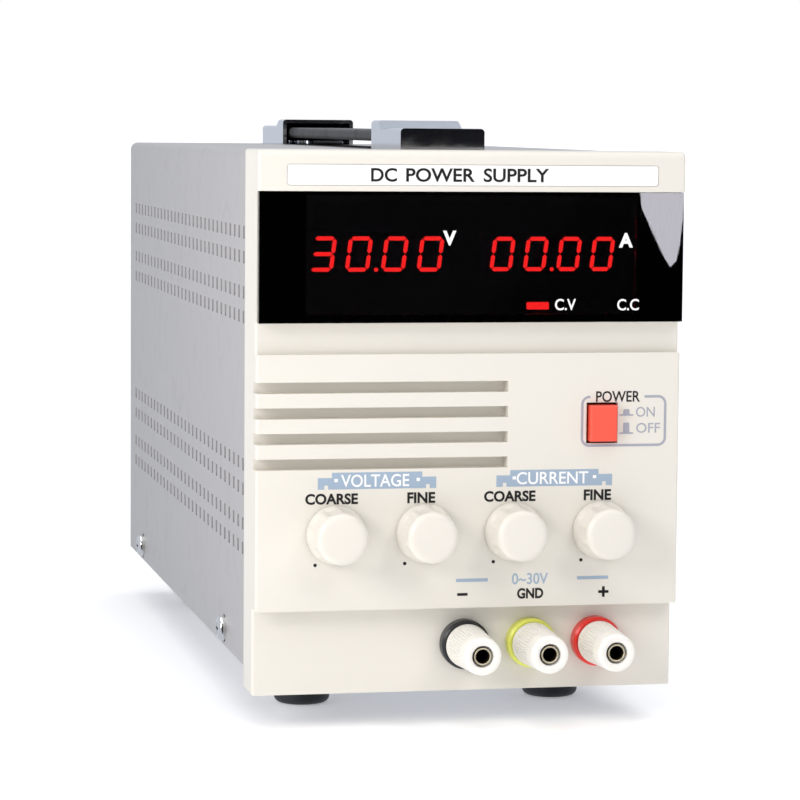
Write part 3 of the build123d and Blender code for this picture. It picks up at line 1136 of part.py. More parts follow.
def mains_inlet():
    """The panel inlet: a flange, a body through the panel and a socket cavity."""
    fx, fz, ft = INLET_FLANGE
    bx, bz, bd = INLET_BODY
    cx, cz, cd = INLET_CAVITY
    y_face = REAR_PANEL_Y + ft
    inlet = block(-fx / 2, fx / 2, REAR_PANEL_Y, y_face, -fz / 2, fz / 2)
    inlet = fillet(inlet.edges().filter_by(Axis.Y), INLET_CORNER_R)
    inlet += block(-bx / 2, bx / 2, REAR_PANEL_Y - bd, y_face + INLET_LIP, -bz / 2, bz / 2)
    cavity = block(-cx / 2, cx / 2, y_face + INLET_LIP - cd, y_face + INLET_LIP + 1, -cz / 2, cz / 2)
    lower = [e for e in cavity.edges().filter_by(Axis.Y) if e.center().Z < 0]
    inlet -= chamfer(lower, INLET_KEY)
    back_y = REAR_PANEL_Y - bd - 1
    for x, z in pin_places():
        inlet -= block(x - PIN_SIZE[1] / 2, x + PIN_SIZE[1] / 2, back_y, y_face,
                       z - PIN_SIZE[0] / 2, z + PIN_SIZE[0] / 2)
    for side in (-1, 1):
        hole_r = SMALL_SCREW_R + SCREW_CLEARANCE
        inlet -= rod(hole_r, REAR_PANEL_Y - 1, y_face + 1, side * INLET_SCREW_SPACING / 2)
    return Pos(INLET_X, 0, INLET_Z) * inlet


def pin_places():
    """Live, neutral and earth pins about the middle of the inlet."""
    return [(-PIN_SPREAD / 2, PIN_DROP), (PIN_SPREAD / 2, PIN_DROP), (0, -PIN_DROP)]


def inlet_pins():
    """The three flat pins, from tail to tip."""
    tip_y = REAR_PANEL_Y + INLET_FLANGE[2] + INLET_LIP - (INLET_CAVITY[2] - PIN_LENGTH)
    tail_y = REAR_PANEL_Y - INLET_BODY[2] - PIN_TAIL
    pins = []
    for x, z in pin_places():
        pins.append(Pos(INLET_X, 0, INLET_Z) * block(x - PIN_SIZE[1] / 2, x + PIN_SIZE[1] / 2, tail_y, tip_y,
                                                     z - PIN_SIZE[0] / 2, z + PIN_SIZE[0] / 2))
    return pins


def fuse_holder():
    """The tube that holds the fuse, with a flange outside the panel and a nut inside."""
    flange_y = REAR_PANEL_Y + FUSE_FLANGE_THICK
    holder = rod(FUSE_BODY_R, REAR_PANEL_Y - FUSE_BODY_DEPTH, flange_y)
    holder += rod(FUSE_FLANGE_R, REAR_PANEL_Y, flange_y)
    holder += rod(FUSE_BODY_R + FUSE_NUT[0], REAR_PANEL_FRONT_Y - FUSE_NUT[1], REAR_PANEL_FRONT_Y)
    holder -= rod(FUSE_BORE_R, REAR_PANEL_Y - FUSE_BODY_DEPTH + FUSE_FLOOR, flange_y + 1)
    return Pos(FUSE_X, 0, FUSE_Z) * holder


def fuse_cap():
    """The screw cap of the fuse holder."""
    y0 = REAR_PANEL_Y + FUSE_FLANGE_THICK + FACE_GAP
    y1 = y0 + FUSE_CAP_LENGTH
    cap = rod(FUSE_CAP_R, y0, y1)
    cap = fillet(cap.edges().sort_by(Axis.Y)[-1], FUSE_CAP_ROUND)
    rib = Cylinder(FUSE_RIB_R, FUSE_CAP_LENGTH - FUSE_RIB_PLAIN)
    rib = Pos(FUSE_CAP_R + FUSE_RIB_OUT, (y0 + y1) / 2, 0) * Rot(90, 0, 0) * rib
    cap -= [Rot(0, i * 360 / FUSE_RIBS, 0) * rib for i in range(FUSE_RIBS)]
    side, depth, half = FUSE_SLOT
    cap -= block(-FUSE_CAP_R + side, FUSE_CAP_R - side, y1 - depth, y1 + 1, -half, half)
    cap += rod(FUSE_NECK_R, y0 - FUSE_NECK_LENGTH, y0 + 0.1)
    return Pos(FUSE_X, 0, FUSE_Z) * cap


def fuse_link():
    """The fuse itself: a glass tube with an end cap at each end, drawn as one piece."""
    y1 = REAR_PANEL_Y + FUSE_FLANGE_THICK + FACE_GAP - FUSE_NECK_LENGTH - FACE_GAP
    y0 = y1 - FUSE_LINK_LENGTH
    link = rod(FUSE_LINK_R - FUSE_GLASS_IN, y0, y1, FUSE_X, FUSE_Z)
    link += rod(FUSE_LINK_R, y0, y0 + FUSE_END, FUSE_X, FUSE_Z)
    link += rod(FUSE_LINK_R, y1 - FUSE_END, y1, FUSE_X, FUSE_Z)
    return link


# ------------------------------------------------------------------ all nodes
NODES = {
    "front_bezel": front_bezel, "top_cover": top_cover, "chassis_tray": chassis_tray,
    "front_plate": front_plate, "rear_panel": rear_panel, "cover_screws": cover_screws,
    "chassis_screws": chassis_screws, "board_screws": board_screws, "rubber_feet": rubber_feet,
    "handle_end_caps": handle_end_caps, "handle_strap": handle_strap,
    "display_window": display_window, "label_strip": label_strip, "display_board": display_board,
    "digit_modules": digit_modules, "indicator_lights": indicator_lights, "potentiometers": potentiometers,
    "potentiometer_nuts": potentiometer_nuts, "control_board": control_board,
    "power_button": power_button, "power_switch_body": power_switch_body,
    "post_studs": post_studs, "post_insulators": post_insulators, "post_nuts": post_nuts,
    "solder_lugs": solder_lugs, "transformer_core": transformer_core,
    "transformer_coil": transformer_coil, "transformer_bracket": transformer_bracket,
    "main_board": main_board, "board_spacers": board_spacers,
    "main_board_parts": main_board_parts, "output_leads": output_leads, "heatsink": heatsink,
    "power_transistors": power_transistors, "fan_frame": fan_frame, "fan_rotor": fan_rotor,
    "fan_guard": fan_guard, "fan_screws": fan_screws, "mains_inlet": mains_inlet,
    "inlet_pins": inlet_pins, "fuse_holder": fuse_holder, "fuse_cap": fuse_cap, "fuse_link": fuse_link,
}

pieces = {name: make() for name, make in NODES.items()}
for name, x in zip(KNOB_NAMES, KNOBS_X):
    pieces["knob_" + name] = knob(x)
    pieces["shaft_" + name] = knob_shaft(x)
for name, x in zip(POST_NAMES, POST_X):
    pieces["collar_" + name] = post_collar(x)
    pieces["clamp_washer_" + name] = clamp_washer(x)
    pieces["screw_cap_" + name] = screw_cap(x)

to_origin = Pos(0, -MIDDLE_Y, FOOT_DROP)
for name, shape in pieces.items():
    solids = shape if isinstance(shape, list) else [shape]
    placed = [(to_origin * solid) for solid in solids]
    export_step(placed[0] if len(placed) == 1 else Compound(placed), "parts/" + name + ".step")
print(len(pieces), "nodes; joint plane at y", round(-MIDDLE_Y, 3), "front", round(CAP_FRONT_Y - MIDDLE_Y, 3))
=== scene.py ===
import json
import math

import bmesh
import bpy
import numpy as np
from mathutils import Matrix, Vector


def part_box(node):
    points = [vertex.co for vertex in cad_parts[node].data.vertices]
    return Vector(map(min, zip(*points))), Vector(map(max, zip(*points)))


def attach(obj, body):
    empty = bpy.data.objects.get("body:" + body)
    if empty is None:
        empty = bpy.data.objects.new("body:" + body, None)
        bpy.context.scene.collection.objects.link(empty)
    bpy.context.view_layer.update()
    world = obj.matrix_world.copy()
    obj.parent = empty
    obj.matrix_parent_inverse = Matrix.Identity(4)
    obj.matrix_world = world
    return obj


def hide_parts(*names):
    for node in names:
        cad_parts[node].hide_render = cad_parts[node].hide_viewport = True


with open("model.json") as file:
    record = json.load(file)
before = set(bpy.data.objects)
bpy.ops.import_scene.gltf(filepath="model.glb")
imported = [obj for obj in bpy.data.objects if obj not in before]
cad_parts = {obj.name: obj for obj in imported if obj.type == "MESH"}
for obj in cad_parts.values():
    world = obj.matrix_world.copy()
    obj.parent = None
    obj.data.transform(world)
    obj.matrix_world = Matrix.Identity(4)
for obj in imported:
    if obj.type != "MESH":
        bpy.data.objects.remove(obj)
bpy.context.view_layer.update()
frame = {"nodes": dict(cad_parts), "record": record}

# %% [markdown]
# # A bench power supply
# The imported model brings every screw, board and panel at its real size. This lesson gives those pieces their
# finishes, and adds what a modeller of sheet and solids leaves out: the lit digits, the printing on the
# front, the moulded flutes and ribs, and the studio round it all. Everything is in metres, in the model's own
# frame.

MM = 0.001

# %% [markdown]
# ## Where things are
# A few planes carry all the work on the front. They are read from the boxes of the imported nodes, so they
# follow if a size is changed: the nuts of the potentiometers end on the control face, the knobs give the
# rows, and the pane and the strip give their own planes.

# %% Planes and rows of the front
def middle(node):
    """The middle of a node's box."""
    low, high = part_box(node)
    return (low + high) / 2


KNOBS = ("voltage_coarse", "voltage_fine", "current_coarse", "current_fine")
POSTS = ("negative", "ground", "positive")
CONTROL_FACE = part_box("potentiometer_nuts")[1].y
PANE_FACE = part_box("display_window")[0].y
STRIP_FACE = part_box("label_strip")[0].y
DIGIT_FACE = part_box("digit_modules")[0].y
KNOB_X = [middle("knob_" + name).x for name in KNOBS]
KNOB_Z = middle("knob_" + KNOBS[0]).z
POST_X = [middle("screw_cap_" + name).x for name in POSTS]
POST_Z = middle("screw_cap_" + POSTS[0]).z
BUTTON = middle("power_button")
FLOOR_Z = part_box("rubber_feet")[0].z
print("control face at y =", round(CONTROL_FACE / MM, 2), "mm, knob row at z =", round(KNOB_Z / MM, 2), "mm")

# %% [markdown]
# ## The camera
# A long lens from the left of the front and a little above it, as for a catalogue. The three turns are
# applied in the order a tripod has them: pan, tilt, then a trace of roll.

# %% Camera
LENS = 143.81
CAMERA_PLACE = (-0.20982, CONTROL_FACE - 0.8909, 0.17632)
PAN, TILT, ROLL = 11.980, -5.005, 0.481

camera = bpy.data.objects.new("camera", bpy.data.cameras.new("camera"))
bpy.context.scene.collection.objects.link(camera)
camera.data.lens = LENS
camera.data.clip_start, camera.data.clip_end = 0.02, 60.0
camera.matrix_world = (
    Matrix.Translation(CAMERA_PLACE)
    @ Matrix.Rotation(math.radians(-PAN), 4, "Z")
    @ Matrix.Rotation(math.radians(90 + TILT), 4, "X")
    @ Matrix.Rotation(math.radians(ROLL), 4, "Z")
)
bpy.context.scene.camera = camera
bpy.context.scene.view_settings.view_transform = "Standard"
print("camera with a", LENS, "mm lens")

# %% [markdown]
# ## From arrays to meshes
# Most new pieces are surfaces of two parameters: rows run along the piece and columns run round it. One
# function joins neighbouring rows and columns with four-sided faces, worked out for the whole grid at once.
# Where a row shrinks to a point, its doubles are merged, so that the skin is closed there.

# %% Mesh helpers
def mesh_piece(name, points, faces, smooth=True):
    """A new object from an array of points and a list or array of faces, with doubles merged and normals
    outward."""
    mesh = bpy.data.meshes.new(name)
    mesh.from_pydata(points, [], faces if isinstance(faces, list) else faces.tolist())
    work = bmesh.new()
    work.from_mesh(mesh)
    bmesh.ops.remove_doubles(work, verts=work.verts, dist=1e-7)
    bmesh.ops.dissolve_degenerate(work, edges=work.edges, dist=1e-8)
    bmesh.ops.recalc_face_normals(work, faces=work.faces)
    work.to_mesh(mesh)
    work.free()
    mesh.polygons.foreach_set("use_smooth", np.full(len(mesh.polygons), smooth))
    piece = bpy.data.objects.new(name, mesh)
    bpy.context.scene.collection.objects.link(piece)
    return piece


def grid_faces(rows, columns):
    """Four-sided faces of a grid whose last column joins its first: corner (i, j) is point i * columns +
    j."""
    i, j = np.meshgrid(np.arange(rows - 1), np.arange(columns), indexing="ij")
    k = (j + 1) % columns
    corners = [i * columns + j, i * columns + k, (i + 1) * columns + k, (i + 1) * columns + j]
    return np.stack([c.ravel() for c in corners], axis=1)


def turned(name, profile, centre, columns=96, dent=None):
    """A profile of (radius, y) points turned round a line along Y through centre.
    Point (s, t) = centre + (r cos t, y, r sin t), where r = radius(s) - dent(s, t)."""
    profile = np.asarray(profile, float)
    angle = np.linspace(0, 2 * math.pi, columns, endpoint=False)
    radius = np.repeat(profile[:, :1], columns, axis=1)
    if dent is not None:
        radius = np.maximum(radius - dent(profile, angle), 0.0)
    points = np.stack([
        centre[0] + radius * np.cos(angle),
        np.repeat(profile[:, 1:], columns, axis=1),
        centre[2] + radius * np.sin(angle),
    ], axis=-1).reshape(-1, 3)
    return mesh_piece(name, points, grid_faces(len(profile), columns))


def arc(centre, radius, start, end, count):
    """Points on a circle from one angle to another, in degrees."""
    angle = np.radians(np.linspace(start, end, count))
    return np.stack([centre[0] + radius * np.cos(angle), centre[1] + radius * np.sin(angle)], axis=1)


def smoothstep(x, low, high):
    """0 below low, 1 above high, and 3t^2 - 2t^3 between them."""
    t = np.clip((x - low) / (high - low), 0, 1)
    return t * t * (3 - 2 * t)


# %% [markdown]
# ## Effects that many finishes share
# Three node groups do most of the work. **Grain** is the fine texture of a mould or a coat of paint.
# **Handling** is the faint mottle and smudging that every real surface has. **Drawn lines** are the fine
# streaks that rolling, drawing or turning leaves in metal. Each puts out values that change over the surface,
# and nothing else.

# %% Node helpers and shared groups
def joined(tree, source, target):
    """Links two sockets."""
    tree.links.new(source, target)


def node(tree, kind, inputs=None, **settings):
    """A new node with its settings and its inputs: a value is set, and a socket is linked."""
    made = tree.nodes.new(kind)
    for key, value in settings.items():
        setattr(made, key, value)
    for key, value in (inputs or {}).items():
        if isinstance(value, bpy.types.NodeSocket):
            tree.links.new(value, made.inputs[key])
        else:
            made.inputs[key].default_value = value
    return made


def new_group(name, inputs, outputs):
    """An empty shader group with named inputs (name: default) and value outputs."""
    group = bpy.data.node_groups.new(name, "ShaderNodeTree")
    for key, default in inputs.items():
        group.interface.new_socket(key, in_out="INPUT", socket_type="NodeSocketFloat").default_value = default
    for key in outputs:
        group.interface.new_socket(key, in_out="OUTPUT", socket_type="NodeSocketFloat")
    return group, group.nodes.new("NodeGroupInput"), group.nodes.new("NodeGroupOutput")


def make_grain():
    """Height = fine noise, plus a share of cells that look like the peaks of a sprayed or spark-eroded
    face."""
    group, given, out = new_group("Grain", {"Scale": 2500.0, "Cells": 0.4}, ["Height"])
    place = node(group, "ShaderNodeTexCoord").outputs["Object"]
    noise = node(group, "ShaderNodeTexNoise",
                 {"Vector": place, "Scale": given.outputs["Scale"], "Detail": 2.0})
    cells = node(group, "ShaderNodeTexVoronoi", {"Vector": place, "Scale": given.outputs["Scale"]})
    mixed = node(group, "ShaderNodeMix", {"Factor": given.outputs["Cells"], "A": noise.outputs["Fac"],
                                          "B": cells.outputs["Distance"]})
    joined(group, mixed.outputs["Result"], out.inputs["Height"])
    return group


def make_handling():
    """Mottle = broad soft noise; Smudge = the upper part of a middle-sized noise; Settled = dust on upward
    faces."""
    group, given, out = new_group("Handling", {"Scale": 30.0}, ["Mottle", "Smudge", "Settled"])
    place = node(group, "ShaderNodeTexCoord").outputs["Object"]
    broad = node(group, "ShaderNodeTexNoise",
                 {"Vector": place, "Scale": given.outputs["Scale"], "Detail": 3.0})
    size = node(group, "ShaderNodeMath", {0: given.outputs["Scale"], 1: 3.7}, operation="MULTIPLY")
    patch = node(group, "ShaderNodeTexNoise", {"Vector": place, "Scale": size.outputs[0], "Detail": 5.0,
                                               "Roughness": 0.62, "Distortion": 0.6})
    smudge = node(group, "ShaderNodeMapRange",
                  {"Value": patch.outputs["Fac"], "From Min": 0.48, "From Max": 0.72},
                  interpolation_type="SMOOTHSTEP")
    normal = node(group, "ShaderNodeNewGeometry").outputs["Normal"]
    facing = node(group, "ShaderNodeSeparateXYZ", {"Vector": normal})
    up = node(group, "ShaderNodeMapRange", {"Value": facing.outputs["Z"], "From Min": 0.55, "From Max": 1.0})
    dust = node(group, "ShaderNodeMath", {0: up.outputs["Result"], 1: patch.outputs["Fac"]},
                operation="MULTIPLY")
    joined(group, broad.outputs["Fac"], out.inputs["Mottle"])
    joined(group, smudge.outputs["Result"], out.inputs["Smudge"])
    joined(group, dust.outputs["Value"], out.inputs["Settled"])
    return group


def make_drawn_lines():
    """Lines = noise squeezed across its grain, so that it runs in streaks along Y (or along Z with Upright
    1)."""
    group, given, out = new_group("Drawn lines", {"Scale": 900.0, "Upright": 0.0}, ["Lines"])
    place = node(group, "ShaderNodeTexCoord").outputs["Object"]
    along_y = node(group, "ShaderNodeMapping", {"Vector": place, "Scale": (1.0, 0.02, 1.0)})
    along_z = node(group, "ShaderNodeMapping", {"Vector": place, "Scale": (1.0, 1.0, 0.02)})
    chosen = node(group, "ShaderNodeMix", {"Factor": given.outputs["Upright"]}, data_type="VECTOR")
    joined(group, along_y.outputs["Vector"], chosen.inputs[4])
    joined(group, along_z.outputs["Vector"], chosen.inputs[5])
    noise = node(group, "ShaderNodeTexNoise", {"Vector": chosen.outputs[1], "Scale": given.outputs["Scale"],
                                               "Detail": 2.0})
    joined(group, noise.outputs["Fac"], out.inputs["Lines"])
    return group


GRAIN, HANDLING, DRAWN = make_grain(), make_handling(), make_drawn_lines()
print("shared groups:", [g.name for g in (GRAIN, HANDLING, DRAWN)])

# %% [markdown]
# ## One way to lay a finish
# Every finish here is the same sandwich: a base colour that drifts a little in tone, a roughness that the
# smudges lift, and a bump made of grain or drawn lines. The numbers say which real surface it is. Constants
# sit on the shader's own sockets, so that an export keeps them.

# %% The finish function
FINISHES = {}


def scaled(color, factor):
    """A colour with its three channels multiplied, and alpha 1."""
    return tuple(min(1.0, c * factor) for c in color[:3]) + (1.0,)


def group_node(tree, group, **values):
    """Places a shared group with its own values."""
    made = tree.nodes.new("ShaderNodeGroup")
    made.node_tree = group
    for key, value in values.items():
        made.inputs[key.replace("_", " ")].default_value = value
    return made


def finish(name, color, roughness, metallic=0.0, drift=0.05, smudge=0.06, grain=2500.0, depth=0.012,
           cells=0.4, lines=0.0, upright=0.0, dust=0.0, patch=30.0, **sockets):
    """A finished material. drift is the change in tone, smudge what marks add to the roughness, grain the
    number of peaks per metre, depth their height in mm, lines the strength of drawn streaks, dust the pale
    film on top."""
    material = bpy.data.materials.new(name)
    material.use_nodes = True
    tree = material.node_tree
    shader = tree.nodes["Principled BSDF"]
    marks = group_node(tree, HANDLING, Scale=patch)
    peaks = group_node(tree, GRAIN, Scale=grain, Cells=cells)
    tone = node(tree, "ShaderNodeMix", {"Factor": marks.outputs["Mottle"]}, data_type="RGBA")
    tone.inputs[6].default_value = scaled(color, 1 - drift)
    tone.inputs[7].default_value = scaled(color, 1 + drift)
    shade = tone.outputs[2]
    if dust:
        film = node(tree, "ShaderNodeMath", {0: marks.outputs["Settled"], 1: dust}, operation="MULTIPLY")
        settled = node(tree, "ShaderNodeMix", {"Factor": film.outputs[0]}, data_type="RGBA")
        settled.inputs[7].default_value = (0.55, 0.54, 0.52, 1.0)
        joined(tree, shade, settled.inputs[6])
        shade = settled.outputs[2]
    joined(tree, shade, shader.inputs["Base Color"])
    worn = node(tree, "ShaderNodeMapRange", {"Value": marks.outputs["Smudge"], "To Min": roughness,
                                             "To Max": min(1.0, roughness + smudge)})
    rough = worn.outputs["Result"]
    height = peaks.outputs["Height"]
    if lines:
        streaks = group_node(tree, DRAWN, Scale=1400.0, Upright=upright)
        height = node(tree, "ShaderNodeMath", {0: streaks.outputs["Lines"], 1: height, 2: 0.0},
                      operation="ADD").outputs[0]
        swing = node(tree, "ShaderNodeMapRange", {"Value": streaks.outputs["Lines"], "From Min": 0.3,
                                                  "From Max": 0.7, "To Min": -lines, "To Max": lines})
        rough = node(tree, "ShaderNodeMath", {0: rough, 1: swing.outputs["Result"]}, operation="ADD",
                     use_clamp=True).outputs[0]
    joined(tree, rough, shader.inputs["Roughness"])
    bump = node(tree, "ShaderNodeBump", {"Height": height, "Distance": depth * MM, "Strength": 1.0})
    joined(tree, bump.outputs["Normal"], shader.inputs["Normal"])
    shader.inputs["Metallic"].default_value = metallic
    for key, value in sockets.items():
        shader.inputs[key.replace("_", " ")].default_value = value
    FINISHES[name] = material
    return material


# %% [markdown]
# ## Moulded plastics
# The bezel is injection moulded from a spark-eroded tool, which leaves an even satin grain in warm ivory. The
# knobs come from a polished tool and are smoother. The binding posts are glossy nylon, the button a satin
# coral red.

# %% Plastics
def plastics():
    """Every moulded finish of the object."""
    finish("bezel_plastic", (0.735, 0.705, 0.635), 0.42, drift=0.015, grain=3200.0, depth=0.008)
    finish("knob_plastic", (0.74, 0.705, 0.635), 0.34, drift=0.02, grain=5000.0, depth=0.003,
           Coat_Weight=0.12)
    finish("post_cap_plastic", (0.84, 0.82, 0.77), 0.28, drift=0.02, grain=5200.0, depth=0.002,
           Subsurface_Weight=0.15, Subsurface_Radius=(0.002, 0.0017, 0.0012), Subsurface_Scale=1.0)
    finish("collar_black", (0.022, 0.022, 0.024), 0.30, drift=0.15, grain=4200.0, depth=0.003)
    finish("collar_green", (0.74, 0.77, 0.13), 0.30, drift=0.05, grain=4200.0, depth=0.003)
    finish("collar_red", (0.74, 0.030, 0.022), 0.28, drift=0.05, grain=4200.0, depth=0.003)
    finish("button_red", (0.90, 0.095, 0.055), 0.38, drift=0.04, grain=3800.0, depth=0.004)
    finish("fan_plastic", (0.020, 0.020, 0.022), 0.50, drift=0.2, smudge=0.15, grain=2600.0, dust=0.25)
    finish("inlet_plastic", (0.022, 0.022, 0.023), 0.42, drift=0.15, smudge=0.12, grain=3000.0, depth=0.006)
    finish("switch_black", (0.025, 0.025, 0.026), 0.48, drift=0.15, grain=3000.0)
    finish("device_black", (0.018, 0.018, 0.019), 0.55, drift=0.2, grain=4500.0)
    finish("insulator_fibre", (0.30, 0.13, 0.06), 0.65, drift=0.15, grain=1800.0, cells=0.1)
    finish("lead_sleeve", (0.30, 0.03, 0.03), 0.42, drift=0.08, grain=3000.0, depth=0.004)
    finish("capacitor_sleeve", (0.020, 0.040, 0.14), 0.22, drift=0.08, grain=1500.0, depth=0.006)
    finish("coil_tape", (0.72, 0.50, 0.09), 0.30, drift=0.12, grain=600.0, depth=0.02, cells=0.0)
    finish("label_print", (0.86, 0.86, 0.85), 0.32, drift=0.01, grain=2600.0, depth=0.002)


plastics()

# %% [markdown]
# ## Painted and bare sheet
# The cover is sprayed with a fine textured paint, whose orange-peel waves are about a millimetre long. The
# tray and the frame inside are bare zinc-plated sheet with the streaks of the rolling mill.

# %% Sheet finishes
def sheet_finishes():
    """Paint outside, zinc inside."""
    finish("cover_paint", (0.393, 0.386, 0.384), 0.40, drift=0.02, smudge=0.08, grain=1300.0, depth=0.022,
           cells=0.25, dust=0.05)
    finish("rear_paint", (0.47, 0.47, 0.465), 0.42, drift=0.03, smudge=0.10, grain=1300.0, depth=0.022,
           cells=0.25, dust=0.06)
    finish("chassis_steel", (0.60, 0.61, 0.62), 0.34, metallic=1.0, drift=0.07, smudge=0.14, lines=0.10,
           depth=0.004)
    finish("core_steel", (0.20, 0.20, 0.21), 0.45, metallic=0.8, drift=0.15, smudge=0.15, lines=0.2,
           depth=0.05)
    finish("heatsink_aluminium", (0.62, 0.63, 0.65), 0.32, metallic=1.0, drift=0.05, lines=0.12, upright=1.0)
    finish("pot_metal", (0.60, 0.60, 0.58), 0.34, metallic=1.0, drift=0.06, smudge=0.12)


sheet_finishes()

# %% [markdown]
# ## Plated metal
# Chrome and nickel are mirrors with a slight haze: their own colour hardly shows, and what is seen is the
# studio. Zinc-plated screws are duller. Solder tags are tinned brass.

# %% Plated finishes
def plated_finishes():
    """Chrome, nickel, zinc and tin, and a dark metal that paints the shade of the stud bores."""
    finish("cap_chrome", (0.66, 0.68, 0.71), 0.07, metallic=1.0, drift=0.02, smudge=0.06, grain=900.0,
           depth=0.0008)
    finish("bright_screw", (0.74, 0.73, 0.71), 0.13, metallic=1.0, drift=0.05, smudge=0.10, grain=2500.0,
           depth=0.002)
    finish("bright_wire", (0.70, 0.70, 0.70), 0.16, metallic=1.0, drift=0.05, smudge=0.10, grain=2500.0,
           depth=0.002)
    finish("nickel_plate", (0.80, 0.72, 0.52), 0.30, metallic=0.6, drift=0.05, smudge=0.08, grain=3200.0,
           depth=0.002)
    finish("zinc_screw", (0.62, 0.62, 0.60), 0.30, metallic=1.0, drift=0.08, smudge=0.12, grain=3000.0,
           depth=0.003)
    # Painted shade: a dark, dull metal for the studs, standing for the shade inside their bores.
    finish("stud_bore_painted_shade", (0.16, 0.12, 0.07), 0.50, metallic=1.0, drift=0.10, smudge=0.10, grain=2000.0,
           depth=0.004)
    finish("tinned_brass", (0.68, 0.64, 0.54), 0.28, metallic=1.0, drift=0.10, smudge=0.12, depth=0.004)


plated_finishes()

# %% [markdown]
# ## Rubber, boards and the panes
# Rubber scatters light off a dry, finely pitted skin. The boards are glass fibre under a green mask, with the
# weave just visible. The pane is smoked so deeply that only something bright behind it shows.

# %% Rubber, boards, panes
def other_finishes():
    """Rubber, circuit boards, the smoked pane, the lenses and the fuse."""
    finish("foot_rubber", (0.020, 0.020, 0.021), 0.62, drift=0.25, smudge=0.12, grain=2200.0, depth=0.02,
           dust=0.2)
    finish("strap_rubber", (0.012, 0.012, 0.013), 0.46, drift=0.2, smudge=0.10, grain=1700.0, depth=0.02,
           dust=0.1)
    finish("board_green", (0.022, 0.13, 0.055), 0.28, drift=0.15, smudge=0.10, grain=1600.0, depth=0.006,
           lines=0.05)
    finish("smoked_pane", (0.030, 0.026, 0.030), 0.008, drift=0.02, smudge=0.012, grain=500.0, depth=0.0001,
           Transmission_Weight=1.0, IOR=1.49)
    finish("fuse_glass", (0.88, 0.90, 0.89), 0.05, drift=0.02, smudge=0.04, grain=500.0, depth=0.0004,
           Transmission_Weight=0.9, IOR=1.5)
    finish("digit_red", (0.012, 0.010, 0.011), 0.45, drift=0.1, grain=3500.0, depth=0.004)
    finish("indicator_red", (0.10, 0.006, 0.006), 0.30, drift=0.1, grain=3500.0, depth=0.003)


other_finishes()
for cad_name, cad_object in frame["nodes"].items():
    slot_name = next(p["material_slot"] for p in frame["record"]["subparts"] if p["node"] == cad_name)
    cad_object.data.materials.clear()
    cad_object.data.materials.append(FINISHES[slot_name])
# The studs get a dark metal in place of their slot's nickel: painted shade, so that their bores read as dark
# holes.
frame["nodes"]["post_studs"].data.materials[0] = FINISHES["stud_bore_painted_shade"]
print(len(FINISHES), "finishes on", len(frame["nodes"]), "nodes")

# %% [markdown]
# ## Dressing a new piece
# A new piece needs the same two things each time: a finish, and the body that it moves with.

# %% Dressing helper
def dress(piece, material, body, slot, *stands_for):
    """Gives a piece its finish and body, and hides the nodes that it stands for. The slot is not used."""
    piece.data.materials.clear()
    piece.data.materials.append(FINISHES[material])
    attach(piece, body)
    if stands_for:
        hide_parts(*stands_for)
    return piece


# %% [markdown]
# ## Knobs
# Each knob is one moulding: a cone that narrows towards its flat face, a rounded rim, and ten shallow flutes
# for the fingertips that run out before the skirt. A lathe profile gives the cone and the rim, and the flutes
# are a dent that depends on both the height and the angle.

# %% Knobs
FLUTES = 10
FLUTE_DEPTH = 0.60 * MM
RIM_ROUND = 2.0 * MM
SKIRT_WALL = 1.9 * MM
SKIRT_DEPTH = 3.4 * MM
SHAFT_BORE = 3.05 * MM
FACE_STEP = 1.1 * MM
FACE_DOME = 0.2 * MM
FACE_THICK = 2.3 * MM
SKIRT_EDGE = 0.25 * MM


def knob_profile(low, high):
    """From the middle of the face, round the rim, down the cone, and up inside the skirt to the bore's
    end."""
    back_radius = (high.x - low.x) / 2
    face_radius = back_radius - FACE_STEP
    y_face, y_back = low.y, high.y
    face = np.stack([np.linspace(0, face_radius - RIM_ROUND, 14), np.full(14, y_face)], axis=1)
    face[:, 1] += FACE_DOME * (face[:, 0] / face_radius) ** 2
    rim = arc((face_radius - RIM_ROUND, y_face + RIM_ROUND + 0.12 * MM), RIM_ROUND, -84, 0, 14)
    side = np.stack([
        np.linspace(face_radius, back_radius, 26),
        np.linspace(rim[-1, 1], y_back - 0.3 * MM, 26),
    ], axis=1)
    skirt = [(back_radius - SKIRT_EDGE, y_back), (back_radius - SKIRT_WALL, y_back),
             (back_radius - SKIRT_WALL, y_back - SKIRT_DEPTH), (SHAFT_BORE, y_back - SKIRT_DEPTH),
             (SHAFT_BORE, y_face + FACE_THICK), (0, y_face + FACE_THICK)]
    return np.concatenate([face, rim[1:], side[1:], skirt])


def knob_dent(low, high):
    """Dent = depth * (a cosine bump over each flute) * (full at the rim, gone before the skirt)."""
    def dent(profile, angle):
        along = smoothstep(profile[:, 1], low.y + 0.5 * RIM_ROUND, low.y + 2.2 * RIM_ROUND)
        along *= 1 - smoothstep(profile[:, 1], high.y - 4.2 * MM, high.y - 1.4 * MM)
        along *= profile[:, 0] > 5.0 * MM
        wave = 1 - np.abs(np.sin(FLUTES * angle / 2)) ** 3
        return FLUTE_DEPTH * along[:, None] * wave[None, :]
    return dent


for name in KNOBS:
    low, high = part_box("knob_" + name)
    piece = turned("knob_body_" + name, knob_profile(low, high), middle("knob_" + name), 240,
                   knob_dent(low, high))
    dress(piece, "knob_plastic", name, "knob_plastic", "knob_" + name)
print(len(KNOBS), "knobs of", len(piece.data.polygons), "faces")

# %% [markdown]
# ## Binding-post caps
# The white caps are turned nylon: a smooth rim at the back, fine knurled ribs over the grip, a smooth nose,
# and a mouth that shows the plated stud. Ribs are a dent again, a narrow one repeated many times.

# %% Screw caps
RIBS = 40
RIB_DEPTH = 0.30 * MM
MOUTH_RADIUS = 3.15 * MM
MOUTH_DEPTH = 3.2 * MM
STUD_BORE = 2.55 * MM
NOSE_STEP = 0.9 * MM
NOSE_ROUND = 1.0 * MM


